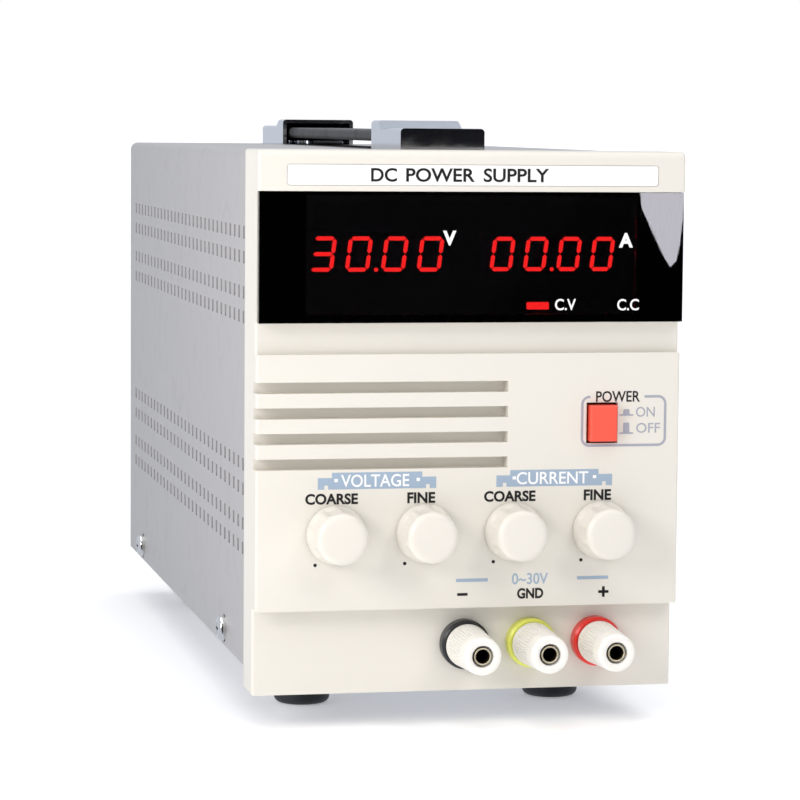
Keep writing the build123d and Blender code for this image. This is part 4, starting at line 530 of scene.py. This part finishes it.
def cap_profile(low, high):
    """From the stud hole's front edge out over the mouth and nose, back along the grip, and in to the stud
    hole."""
    back_radius = (high.x - low.x) / 2
    nose_radius = back_radius - NOSE_STEP
    y_nose, y_back = low.y, high.y
    mouth = [(STUD_BORE, y_back - 0.1 * MM), (STUD_BORE, y_nose + MOUTH_DEPTH),
             (MOUTH_RADIUS, y_nose + MOUTH_DEPTH),
             (MOUTH_RADIUS, y_nose + 0.35 * MM), (MOUTH_RADIUS + 0.3 * MM, y_nose + 0.02 * MM)]
    nose = arc((nose_radius - NOSE_ROUND, y_nose + NOSE_ROUND), NOSE_ROUND, -90, 0, 9)
    grip_y = np.linspace(y_nose + 1.3 * MM, y_back - 1.2 * MM, 44)
    grip = np.stack([np.interp(grip_y, [y_nose, y_back], [nose_radius, back_radius]), grip_y], axis=1)
    back = [(back_radius, y_back - 0.9 * MM), (back_radius, y_back - 0.25 * MM),
            (back_radius - 0.25 * MM, y_back),
            (STUD_BORE, y_back), (STUD_BORE, y_back - 0.1 * MM)]
    return np.concatenate([mouth, nose, grip, back])


def cap_dent(low, high):
    """Dent = depth * (a raised cosine to the power 1.5, RIBS times round) from the nose to the back rim."""
    def dent(profile, angle):
        along = smoothstep(profile[:, 1], low.y + 5.4 * MM, low.y + 6.4 * MM)
        along *= 1 - smoothstep(profile[:, 1], high.y - 2.4 * MM, high.y - 1.7 * MM)
        along *= profile[:, 0] > MOUTH_RADIUS + 1.0 * MM
        wave = ((1 + np.cos(RIBS * angle)) / 2) ** 1.5
        return RIB_DEPTH * along[:, None] * wave[None, :]
    return dent


for name in POSTS:
    low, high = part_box("screw_cap_" + name)
    piece = turned("post_cap_" + name, cap_profile(low, high), middle("screw_cap_" + name), 400,
                   cap_dent(low, high))
    dress(piece, "post_cap_plastic", "cap_" + name, "post_cap_plastic", "screw_cap_" + name)
print(len(POSTS), "post caps of", len(piece.data.polygons), "faces")

# %% [markdown]
# The stud's front edge shows in the mouth of each cap as a bright ring. Turning leaves a small rounded lip
# there, made as half a circle carried round the axis of the post.

# %% Lips of the sockets
SOCKET_R, STUD_R = 2.05 * MM, 2.5 * MM


def lip_profile(y_front):
    """Half a circle between the bore and the stud's side, bulging forward, closed along its back."""
    middle_r, half = (SOCKET_R + STUD_R) / 2, (STUD_R - SOCKET_R) / 2
    bulge = arc((middle_r, y_front), half, 180, 360, 13)
    return np.concatenate([bulge, bulge[:1]])


stud_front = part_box("post_studs")[0].y
for name, x in zip(POSTS, POST_X):
    lip = turned("socket_lip_" + name, lip_profile(stud_front), (x, 0.0, POST_Z), 72)
    dress(lip, "nickel_plate", "case", "nickel_plate")
print("lips stand", round((STUD_R - SOCKET_R) / 2 / MM, 2), "mm out of the studs")

# %% [markdown]
# ## Lit digits
# Each digit has seven bars with pointed ends and leans a few degrees. The bars are one shape, a flat hexagon,
# moved and turned; a table says which of the seven are lit for each figure. Lit bars give light of their own.
# The others stay dark grey, so they are just there when one looks closely. The same flat pieces serve for the
# printing.

# %% Printing and lettering helpers
def slab(name, outlines, face_y, thick):
    """Flat pieces from closed (x, z) outlines: a front at face_y - thick, a back at face_y, and walls
    between."""
    points, faces = [], []
    for outline in outlines:
        outline = np.asarray(outline, float)
        count, base = len(outline), sum(len(p) for p in points)
        front = np.insert(outline, 1, face_y - thick, axis=1)
        back = np.insert(outline, 1, face_y, axis=1)
        points += [front, back]
        i = np.arange(count)
        walls = base + np.stack([i, (i + 1) % count, count + (i + 1) % count, count + i], axis=1)
        faces += walls.tolist() + [(base + i).tolist(), (base + count + i[::-1]).tolist()]
    return mesh_piece(name, np.concatenate(points), faces, smooth=False)


def emitter(name, color, strength):
    """A light-giving plastic: the glow drifts a little over its face, as a diffuser's does."""
    material = finish(name, color, 0.35, drift=0.1, grain=3500.0, depth=0.003)
    tree = material.node_tree
    shader = tree.nodes["Principled BSDF"]
    place = node(tree, "ShaderNodeTexCoord").outputs["Object"]
    noise = node(tree, "ShaderNodeTexNoise", {"Vector": place, "Scale": 700.0})
    glow = node(tree, "ShaderNodeMix", {"Factor": noise.outputs["Fac"]}, data_type="RGBA")
    glow.inputs[6].default_value = scaled(color, 0.8)
    glow.inputs[7].default_value = scaled(color, 1.0)
    joined(tree, glow.outputs[2], shader.inputs["Emission Color"])
    shader.inputs["Emission Strength"].default_value = strength
    return material


emitter("lit_red", (1.0, 0.020, 0.018), 36.0)
finish("unlit_bar", (0.05, 0.035, 0.04), 0.4, drift=0.1, depth=0.003)

# %% Digits
LEAN = math.tan(math.radians(7.2))
BAR = 1.15 * MM
BAR_GAP = 0.16 * MM
LIT_THICK, DARK_THICK = 0.15 * MM, 0.10 * MM
POINT_RADIUS, POINT_RISE = 0.58 * MM, 0.55 * MM
FIGURES = {"0": "abcdef", "3": "abcdg"}
MODULES = {
    "volts": {"figures": "3000", "middle": -27.32 * MM, "pitch": 10.45 * MM, "wide": 6.98 * MM,
              "high": 10.05 * MM},
    "amps": {"figures": "0000", "middle": 24.41 * MM, "pitch": 9.90 * MM, "wide": 6.57 * MM,
             "high": 9.90 * MM},
}
DIGIT_Z = middle("digit_modules").z + 0.1 * MM


def bar_shape(start, end):
    """A hexagon from start to end: pointed ends, BAR wide, pulled in by BAR_GAP at both points."""
    start, end = np.asarray(start, float), np.asarray(end, float)
    along = (end - start) / np.linalg.norm(end - start)
    across = np.array([-along[1], along[0]]) * BAR / 2
    a, b = start + along * BAR_GAP, end - along * BAR_GAP
    step = along * BAR / 2
    return np.array([a, a + step + across, b - step + across, b, b - step - across, a + step - across])


def digit_bars(wide, high):
    """The seven bars, named a to g clockwise from the top with g in the middle, round the digit's centre."""
    x, z = (wide - BAR) / 2, (high - BAR) / 2
    ends = {"a": ((-x, z), (x, z)), "b": ((x, z), (x, 0)), "c": ((x, 0), (x, -z)), "d": ((x, -z), (-x, -z)),
            "e": ((-x, -z), (-x, 0)), "f": ((-x, 0), (-x, z)), "g": ((-x, 0), (x, 0))}
    return {key: bar_shape(*pair) for key, pair in ends.items()}


def leaned(outline, x):
    """An outline about a digit's centre, leaned to the right with height and moved to x on the digit row."""
    outline = np.asarray(outline, float)
    return np.stack([outline[:, 0] + LEAN * outline[:, 1] + x, outline[:, 1] + DIGIT_Z], axis=1)


for module, facts in MODULES.items():
    lit, dark = [], []
    for i, figure in enumerate(facts["figures"]):
        x = facts["middle"] + (i - 1.5) * facts["pitch"]
        for key, outline in digit_bars(facts["wide"], facts["high"]).items():
            (lit if key in FIGURES[figure] else dark).append(leaned(outline, x))
    point_x = facts["middle"] - 0.02 * facts["pitch"] - LEAN * facts["high"] / 2
    point = arc((point_x, -facts["high"] / 2 + POINT_RISE), POINT_RADIUS, 0, 337.5, 16)
    point[:, 0] += LEAN * facts["high"] / 2
    lit.append(point + (0, DIGIT_Z))
    dress(slab("lit_bars_" + module, lit, DIGIT_FACE, LIT_THICK), "lit_red", "case", "digit_red")
    dress(slab("dark_bars_" + module, dark, DIGIT_FACE, DARK_THICK), "unlit_bar", "case", "digit_red")
    print(module, "shows", facts["figures"], "with", len(lit), "lit shapes")

# %% [markdown]
# The lamp for constant voltage is lit, and the one for constant current is dark. Each is a lens that covers
# the front of its lamp.

# %% Indicator lenses
LAMP_WIDE, LAMP_HIGH = 6.6 * MM, 2.1 * MM
LENS_ROUND, LENS_THICK = 0.3 * MM, 0.2 * MM
lamp_low, lamp_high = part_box("indicator_lights")
for side, material in ((0, "lit_red"), (1, "unlit_bar")):
    x = (lamp_low.x + LAMP_WIDE / 2, lamp_high.x - LAMP_WIDE / 2)[side]
    z = (lamp_low.z + lamp_high.z) / 2
    corners = [(-1, -1), (1, -1), (1, 1), (-1, 1)]
    outline = np.concatenate([
        arc((x + sx * (LAMP_WIDE / 2 - LENS_ROUND), z + sz * (LAMP_HIGH / 2 - LENS_ROUND)), LENS_ROUND,
            (180, 270, 0, 90)[k], (270, 360, 90, 180)[k], 5)
        for k, (sx, sz) in enumerate(corners)])
    dress(slab("lens_" + ("voltage", "current")[side], [outline], lamp_low.y, LENS_THICK), material, "case",
          "indicator_red")

# %% [markdown]
# ## Printing
# The front is silk-screened: black words, blue-grey panels with white words, and thin lines. Ink is a film
# with a real thickness, so each mark is a flat closed shape standing a few hundredths of a millimetre off the
# plastic. Words are set in Blender's own upright face, made heavier by an offset, made into a mesh, and
# fitted to size.

# %% Inks and lettering
INK = 0.05 * MM
finish("ink_black", (0.012, 0.012, 0.013), 0.45, drift=0.2, depth=0.003)
finish("ink_blue", (0.33, 0.42, 0.53), 0.45, drift=0.04, depth=0.003)
finish("ink_grey", (0.36, 0.37, 0.43), 0.45, drift=0.04, depth=0.003)
finish("ink_white", (0.88, 0.88, 0.87), 0.40, drift=0.02, depth=0.002)


def lettering(name, words, x, z, wide, high, face_y, ink, weight=0.0, slot="bezel_plastic"):
    """Words centred on (x, z), fitted to wide by high, standing INK off face_y and facing the front."""
    text = bpy.data.curves.new(name, "FONT")
    text.body = words
    text.offset = weight
    text.extrude = 0.05
    text.resolution_u = 5
    holder = bpy.data.objects.new(name + "_type", text)
    bpy.context.scene.collection.objects.link(holder)
    bpy.context.view_layer.update()
    mesh = bpy.data.meshes.new_from_object(holder.evaluated_get(bpy.context.evaluated_depsgraph_get()))
    bpy.data.objects.remove(holder)
    flat = np.zeros(len(mesh.vertices) * 3)
    mesh.vertices.foreach_get("co", flat)
    flat = flat.reshape(-1, 3)
    low, high_corner = flat.min(0), flat.max(0)
    unit = (flat - low) / (high_corner - low)
    placed = np.stack([
        x + (unit[:, 0] - 0.5) * wide,
        face_y - unit[:, 2] * INK,
        z + (unit[:, 1] - 0.5) * high,
    ], axis=1)
    mesh.vertices.foreach_set("co", placed.ravel())
    mesh.update()
    mesh.name = name
    piece = bpy.data.objects.new(name, mesh)
    bpy.context.scene.collection.objects.link(piece)
    return dress(piece, ink, "case", slot)


def printed(name, outlines, ink, face_y=CONTROL_FACE, thick=INK):
    """Flat marks in one ink."""
    return dress(slab(name, outlines, face_y, thick), ink, "case", "bezel_plastic")


def rectangle(x0, x1, z0, z1):
    """A closed outline of four corners."""
    return [(x0, z0), (x1, z0), (x1, z1), (x0, z1)]


# %% [markdown]
# Over each pair of knobs there is a panel with stepped ends, like a few squares that fall away from it. Each
# knob has its word above it and a dot where its travel starts.

# %% Marks round the knobs
WORD_SHIFT = -1.2 * MM
WORD_RISE = 10.25 * MM
WORD_HIGH = 3.15 * MM
WORDS = {"COARSE": 15.3 * MM, "FINE": 8.2 * MM}
PANEL_WIDE, PANEL_HIGH = 34.6 * MM, 4.8 * MM
PANEL_RISE = 15.4 * MM
SQUARE_OUT, SQUARE_HALF = 12.0 * MM, 0.5 * MM
DOT_PLACE = (-5.9 * MM, -8.75 * MM)
DOT_RADIUS = 0.5 * MM


def panel_outline(x, z):
    """A wide panel whose ends step down twice, the same at both ends."""
    half, high = PANEL_WIDE / 2, PANEL_HIGH / 2
    step_x, notch_x = half - 4.1 * MM, half - 1.9 * MM
    step_z, notch_z = high - 1.5 * MM, -high + 1.15 * MM
    right = [(notch_x - 1.1 * MM, -high), (notch_x - 1.1 * MM, notch_z), (notch_x, notch_z), (notch_x, -high),
             (half, -high), (half, step_z), (step_x, step_z), (step_x, high)]
    left = [(-px, pz) for px, pz in right[::-1]]
    return [(x + px, z + pz) for px, pz in left + right]


dots = []
for i, name in enumerate(KNOBS):
    word = "COARSE" if "coarse" in name else "FINE"
    lettering("word_" + name, word, KNOB_X[i] + WORD_SHIFT, KNOB_Z + WORD_RISE, WORDS[word], WORD_HIGH,
              CONTROL_FACE, "ink_black", weight=0.034)
    dots.append(arc((KNOB_X[i] + DOT_PLACE[0], KNOB_Z + DOT_PLACE[1]), DOT_RADIUS, 0, 345, 24))
printed("start_dots", dots, "ink_black")
for word, pair, wide in (("VOLTAGE", KNOB_X[:2], 19.9), ("CURRENT", KNOB_X[2:], 21.4)):
    x, z = sum(pair) / 2 - 1.05 * MM, KNOB_Z + PANEL_RISE
    printed("panel_" + word.lower(), [panel_outline(x, z)], "ink_blue")
    middles = [x + side * SQUARE_OUT for side in (-1, 1)]
    squares = [rectangle(m - SQUARE_HALF, m + SQUARE_HALF, z - 0.3 * MM, z + 0.6 * MM) for m in middles]
    printed("squares_" + word.lower(), squares, "ink_white", CONTROL_FACE - INK)
    lettering("title_" + word.lower(), word, x - 0.6 * MM, z, wide * MM, 3.6 * MM, CONTROL_FACE - INK,
              "ink_white", weight=0.010)

# %% [markdown]
# Under the knobs, the posts have their signs, two short bars and the range between them.

# %% Marks over the posts
SIGN_Z = POST_Z + 15.1 * MM
BAR_Z = POST_Z + 19.3 * MM
BAR_LONG, BAR_THICK = 9.4 * MM, 0.95 * MM
SIGN_ARM, SIGN_THICK = 3.1 * MM, 0.80 * MM


def bar_outline(x):
    """A short horizontal bar over a post."""
    return rectangle(x - BAR_LONG / 2, x + BAR_LONG / 2, BAR_Z - BAR_THICK / 2, BAR_Z + BAR_THICK / 2)


def plus_outline(x, z):
    """A plus sign: twelve corners round its middle."""
    a, t = SIGN_ARM / 2, SIGN_THICK / 2
    arm = [(t, t), (t, a), (-t, a)]
    turns = [[(c * px - s * pz, s * px + c * pz) for px, pz in arm]
             for c, s in ((1, 0), (0, 1), (-1, 0), (0, -1))]
    return [(x + px, z + pz) for quarter in turns for px, pz in quarter]


printed("post_bars", [bar_outline(POST_X[0] + 0.9 * MM), bar_outline(POST_X[2] - 2.4 * MM)], "ink_blue")
lettering("range_text", "0~30V", POST_X[1] - 1.5 * MM, BAR_Z + 0.1 * MM, 10.8 * MM, 3.3 * MM, CONTROL_FACE,
          "ink_blue", weight=0.016)
lettering("ground_text", "GND", POST_X[1] - 1.4 * MM, SIGN_Z, 7.8 * MM, 3.1 * MM, CONTROL_FACE, "ink_black",
          weight=0.034)
minus_x = POST_X[0] - 1.9 * MM
printed("post_signs", [rectangle(minus_x - SIGN_ARM / 2, minus_x + SIGN_ARM / 2,
                                 SIGN_Z + 0.1 * MM - SIGN_THICK / 2,
                                 SIGN_Z + 0.1 * MM + SIGN_THICK / 2),
                       plus_outline(POST_X[2] + 0.9 * MM, SIGN_Z)], "ink_black")

# %% [markdown]
# The power button stands in a thin rounded frame that opens for its title. Beside it, a low button and a tall
# one say which position is on.

# %% The power frame and its signs
FRAME_WIDE, FRAME_HIGH = 25.7 * MM, 14.9 * MM
FRAME_MIDDLE = (BUTTON.x + 6.5 * MM, BUTTON.z + 0.5 * MM)
FRAME_LINE, FRAME_ROUND = 0.72 * MM, 2.5 * MM
FRAME_GAP = (-10.1 * MM, 6.2 * MM)


def frame_path(inset):
    """The line round the frame from the gap's right end, clockwise, to its left end, moved inward by
    inset."""
    x, z = FRAME_WIDE / 2 - inset, FRAME_HIGH / 2 - inset
    r = FRAME_ROUND - inset
    corners = [arc((sx * (x - r), sz * (z - r)), r, start, start - 90, 9)
               for sx, sz, start in ((1, 1, 90), (1, -1, 0), (-1, -1, -90), (-1, 1, 180))]
    return np.concatenate([[(FRAME_GAP[1], z)], *corners, [(FRAME_GAP[0], z)]])


def button_sign(x, z, tall):
    """A base line with a button on it, tall or low, whose foot spreads a little."""
    right = [(2.1, 0.0), (2.1, 0.42), (1.15, 0.46), (0.95, 0.75), (0.9, tall - 0.2), (0.75, tall)]
    left = [(-px, pz) for px, pz in right[::-1]]
    return [(x + px * MM, z + pz * MM) for px, pz in right + left]


frame_outline = np.concatenate([frame_path(0), frame_path(FRAME_LINE)[::-1]]) + FRAME_MIDDLE
printed("power_frame", [frame_outline], "ink_grey")
lettering("power_text", "POWER", BUTTON.x + 4.7 * MM, FRAME_MIDDLE[1] + FRAME_HIGH / 2 - 0.3 * MM, 13.2 * MM,
          3.2 * MM, CONTROL_FACE, "ink_black", weight=0.012)
SIGN_X = BUTTON.x + 7.3 * MM
printed("button_signs", [button_sign(SIGN_X, BUTTON.z + 2.0 * MM, 1.9),
                         button_sign(SIGN_X, BUTTON.z - 3.3 * MM, 3.3)],
        "ink_grey")
lettering("on_text", "ON", BUTTON.x + 13.0 * MM, BUTTON.z + 3.1 * MM, 5.7 * MM, 2.9 * MM, CONTROL_FACE,
          "ink_grey", weight=0.006)
lettering("off_text", "OFF", BUTTON.x + 13.9 * MM, BUTTON.z - 1.6 * MM, 7.2 * MM, 2.9 * MM, CONTROL_FACE,
          "ink_grey", weight=0.006)

# %% [markdown]
# The pane carries the units in white, and the strip above it says in plain words what the instrument is.

# %% Marks on the pane and the strip
PANE_WORDS = (("V", -7.2, 3.9, 4.2, 4.75, 0.040), ("A", 44.95, 4.2, 4.2, 4.15, 0.040),
              ("C.V", 27.15, 6.2, 3.3, -14.35, 0.014), ("C.C", 45.85, 6.5, 3.3, -14.45, 0.014))
for k, (word, x, wide, high, rise, weight) in enumerate(PANE_WORDS):
    lettering(f"pane_text_{k}", word, x * MM, DIGIT_Z + rise * MM, wide * MM, high * MM, PANE_FACE,
              "ink_white", weight=weight, slot="smoked_pane")
STRIP_WORDS = (("DC", -26.5, 7.5), ("POWER", -10.1, 20.0), ("SUPPLY", 12.1, 19.2))
for word, x, wide in STRIP_WORDS:
    lettering("strip_" + word.lower(), word, x * MM, middle("label_strip").z + 0.05 * MM, wide * MM, 3.9 * MM,
              STRIP_FACE, "ink_black", weight=0.018, slot="label_print")

# %% [markdown]
# ## The studio
# A pale floor that runs out of sight, a broad soft key from the right and above, and a sky that fills the
# shadows. A mirror shows what stands round it, so the sky that mirrors see is another one: dark in front,
# where the camera stands, and bright at the sides. One white card at the right gives the pane its single
# bright corner.

# %% Floor and sky
SKY_FILL = (0.31, 0.32, 0.35, 1.0)
FLOOR_DROP = 0.2 * MM


def make_floor():
    """A disc of rings: point (s, t) = radius(s) * (cos t, sin t), closed at its middle."""
    rings = np.concatenate([[0.0], np.geomspace(0.2, 40.0, 12)])
    angle = np.linspace(0, 2 * math.pi, 48, endpoint=False)
    points = np.stack([rings[:, None] * np.cos(angle), rings[:, None] * np.sin(angle),
                       np.full((len(rings), len(angle)), FLOOR_Z - FLOOR_DROP)], axis=-1).reshape(-1, 3)
    floor = mesh_piece("studio_floor", points, grid_faces(len(rings), len(angle)))
    paper = finish("floor_paper", (0.90, 0.90, 0.91), 0.85, drift=0.01, grain=300.0, depth=0.01,
                   Emission_Strength=0.30)
    paper.node_tree.nodes["Principled BSDF"].inputs["Emission Color"].default_value = (0.96, 0.97, 1.0, 1.0)
    floor.data.materials.append(paper)
    floor.visible_glossy = False
    return floor


def make_sky():
    """White to the camera, soft light all round to matt surfaces, and dark in front to mirrors."""
    world = bpy.data.worlds.new("studio_sky")
    world.use_nodes = True
    bpy.context.scene.world = world
    tree = world.node_tree
    ray = node(tree, "ShaderNodeLightPath")
    toward = node(tree, "ShaderNodeTexCoord").outputs["Generated"]
    front = node(tree, "ShaderNodeVectorMath", {0: toward, 1: (0.20, -0.975, 0.05)}, operation="DOT_PRODUCT")
    dark = node(tree, "ShaderNodeMapRange", {"Value": front.outputs["Value"], "From Min": 0.45,
                                             "From Max": 0.85,
                                             "To Min": 0.0, "To Max": 1.0}, interpolation_type="SMOOTHSTEP")
    mirror = node(tree, "ShaderNodeMix", {"Factor": dark.outputs["Result"]}, data_type="RGBA")
    mirror.inputs[6].default_value = (0.66, 0.70, 0.78, 1.0)
    mirror.inputs[7].default_value = (0.010, 0.010, 0.012, 1.0)
    fill = node(tree, "ShaderNodeMix", {"Factor": ray.outputs["Is Glossy Ray"]}, data_type="RGBA")
    fill.inputs[6].default_value = SKY_FILL
    joined(tree, mirror.outputs[2], fill.inputs[7])
    seen = node(tree, "ShaderNodeMix", {"Factor": ray.outputs["Is Camera Ray"]}, data_type="RGBA")
    seen.inputs[7].default_value = (1.0, 1.0, 1.0, 1.0)
    joined(tree, fill.outputs[2], seen.inputs[6])
    joined(tree, seen.outputs[2], tree.nodes["Background"].inputs["Color"])


make_floor()
make_sky()

# %% Lamps
def lamp(name, kind, place, aim, energy, color=(1.0, 1.0, 1.0), **settings):
    """A lamp at place that points at aim and isn't seen by the camera."""
    light = bpy.data.lights.new(name, kind)
    light.energy, light.color = energy, color
    for key, value in settings.items():
        setattr(light, key, value)
    holder = bpy.data.objects.new(name, light)
    bpy.context.scene.collection.objects.link(holder)
    holder.location = place
    holder.rotation_euler = (Vector(aim) - Vector(place)).to_track_quat("-Z", "Y").to_euler()
    holder.visible_camera = False
    return holder


lamp("overhead", "SUN", (0.0, 0.0, 2.0), (-0.15, 0.10, 0.0), 1.9, (1.0, 0.995, 0.985), angle=math.radians(75))
lamp("key", "AREA", (0.62, -1.30, 1.05), (0.0, -0.1, 0.08), 3.1, (1.0, 0.975, 0.94), shape="DISK", size=0.45)
lamp("side_fill", "AREA", (-0.46, -0.42, 0.28), (-0.06, -0.06, 0.09), 1.65, (1.0, 0.96, 0.94), shape="DISK",
     size=0.3)
front_fill = lamp("front_fill", "AREA", (0.10, -1.5, 0.30), (0.0, -0.1, 0.09), 1.0, (1.0, 0.985, 0.96),
                  shape="DISK", size=0.7)
front_fill.visible_glossy = False

# %% [markdown]
# In the pane's upper right corner one sees the corner of a softbox. A small bright card stands where that
# corner would: a ray from the camera goes on from the pane with its y turned round, and meets the card there.
# Only mirrors see it.

# %% The card in the pane
CARD_Y = -1.1
CARD_ON_PANE = ((49.0, 156.6), (62.6, 157.2), (61.3, 142.0), (60.2, 136.4), (58.4, 134.6), (56.4, 137.5),
                (52.2, 146.0),
                (49.4, 152.0))


def beyond_mirror(x, z):
    """Where the ray from the camera by way of (x, z) on the pane crosses the plane y = CARD_Y."""
    eye = np.array(CAMERA_PLACE)
    spot = np.array([x * MM, PANE_FACE, z * MM])
    ray = (spot - eye) * (1, -1, 1)
    return spot + ray * (CARD_Y - PANE_FACE) / ray[1]


def make_card():
    """A flat polygon of light, as bright at its edges as in its middle."""
    corners = np.array([beyond_mirror(x, z) for x, z in CARD_ON_PANE])
    card = mesh_piece("softbox_corner", corners, [list(range(len(corners)))], smooth=False)
    card.data.materials.append(emitter("card_light", (0.80, 0.78, 0.86), 17.0))
    card.visible_camera = card.visible_diffuse = card.visible_shadow = False


make_card()
print("studio lit")
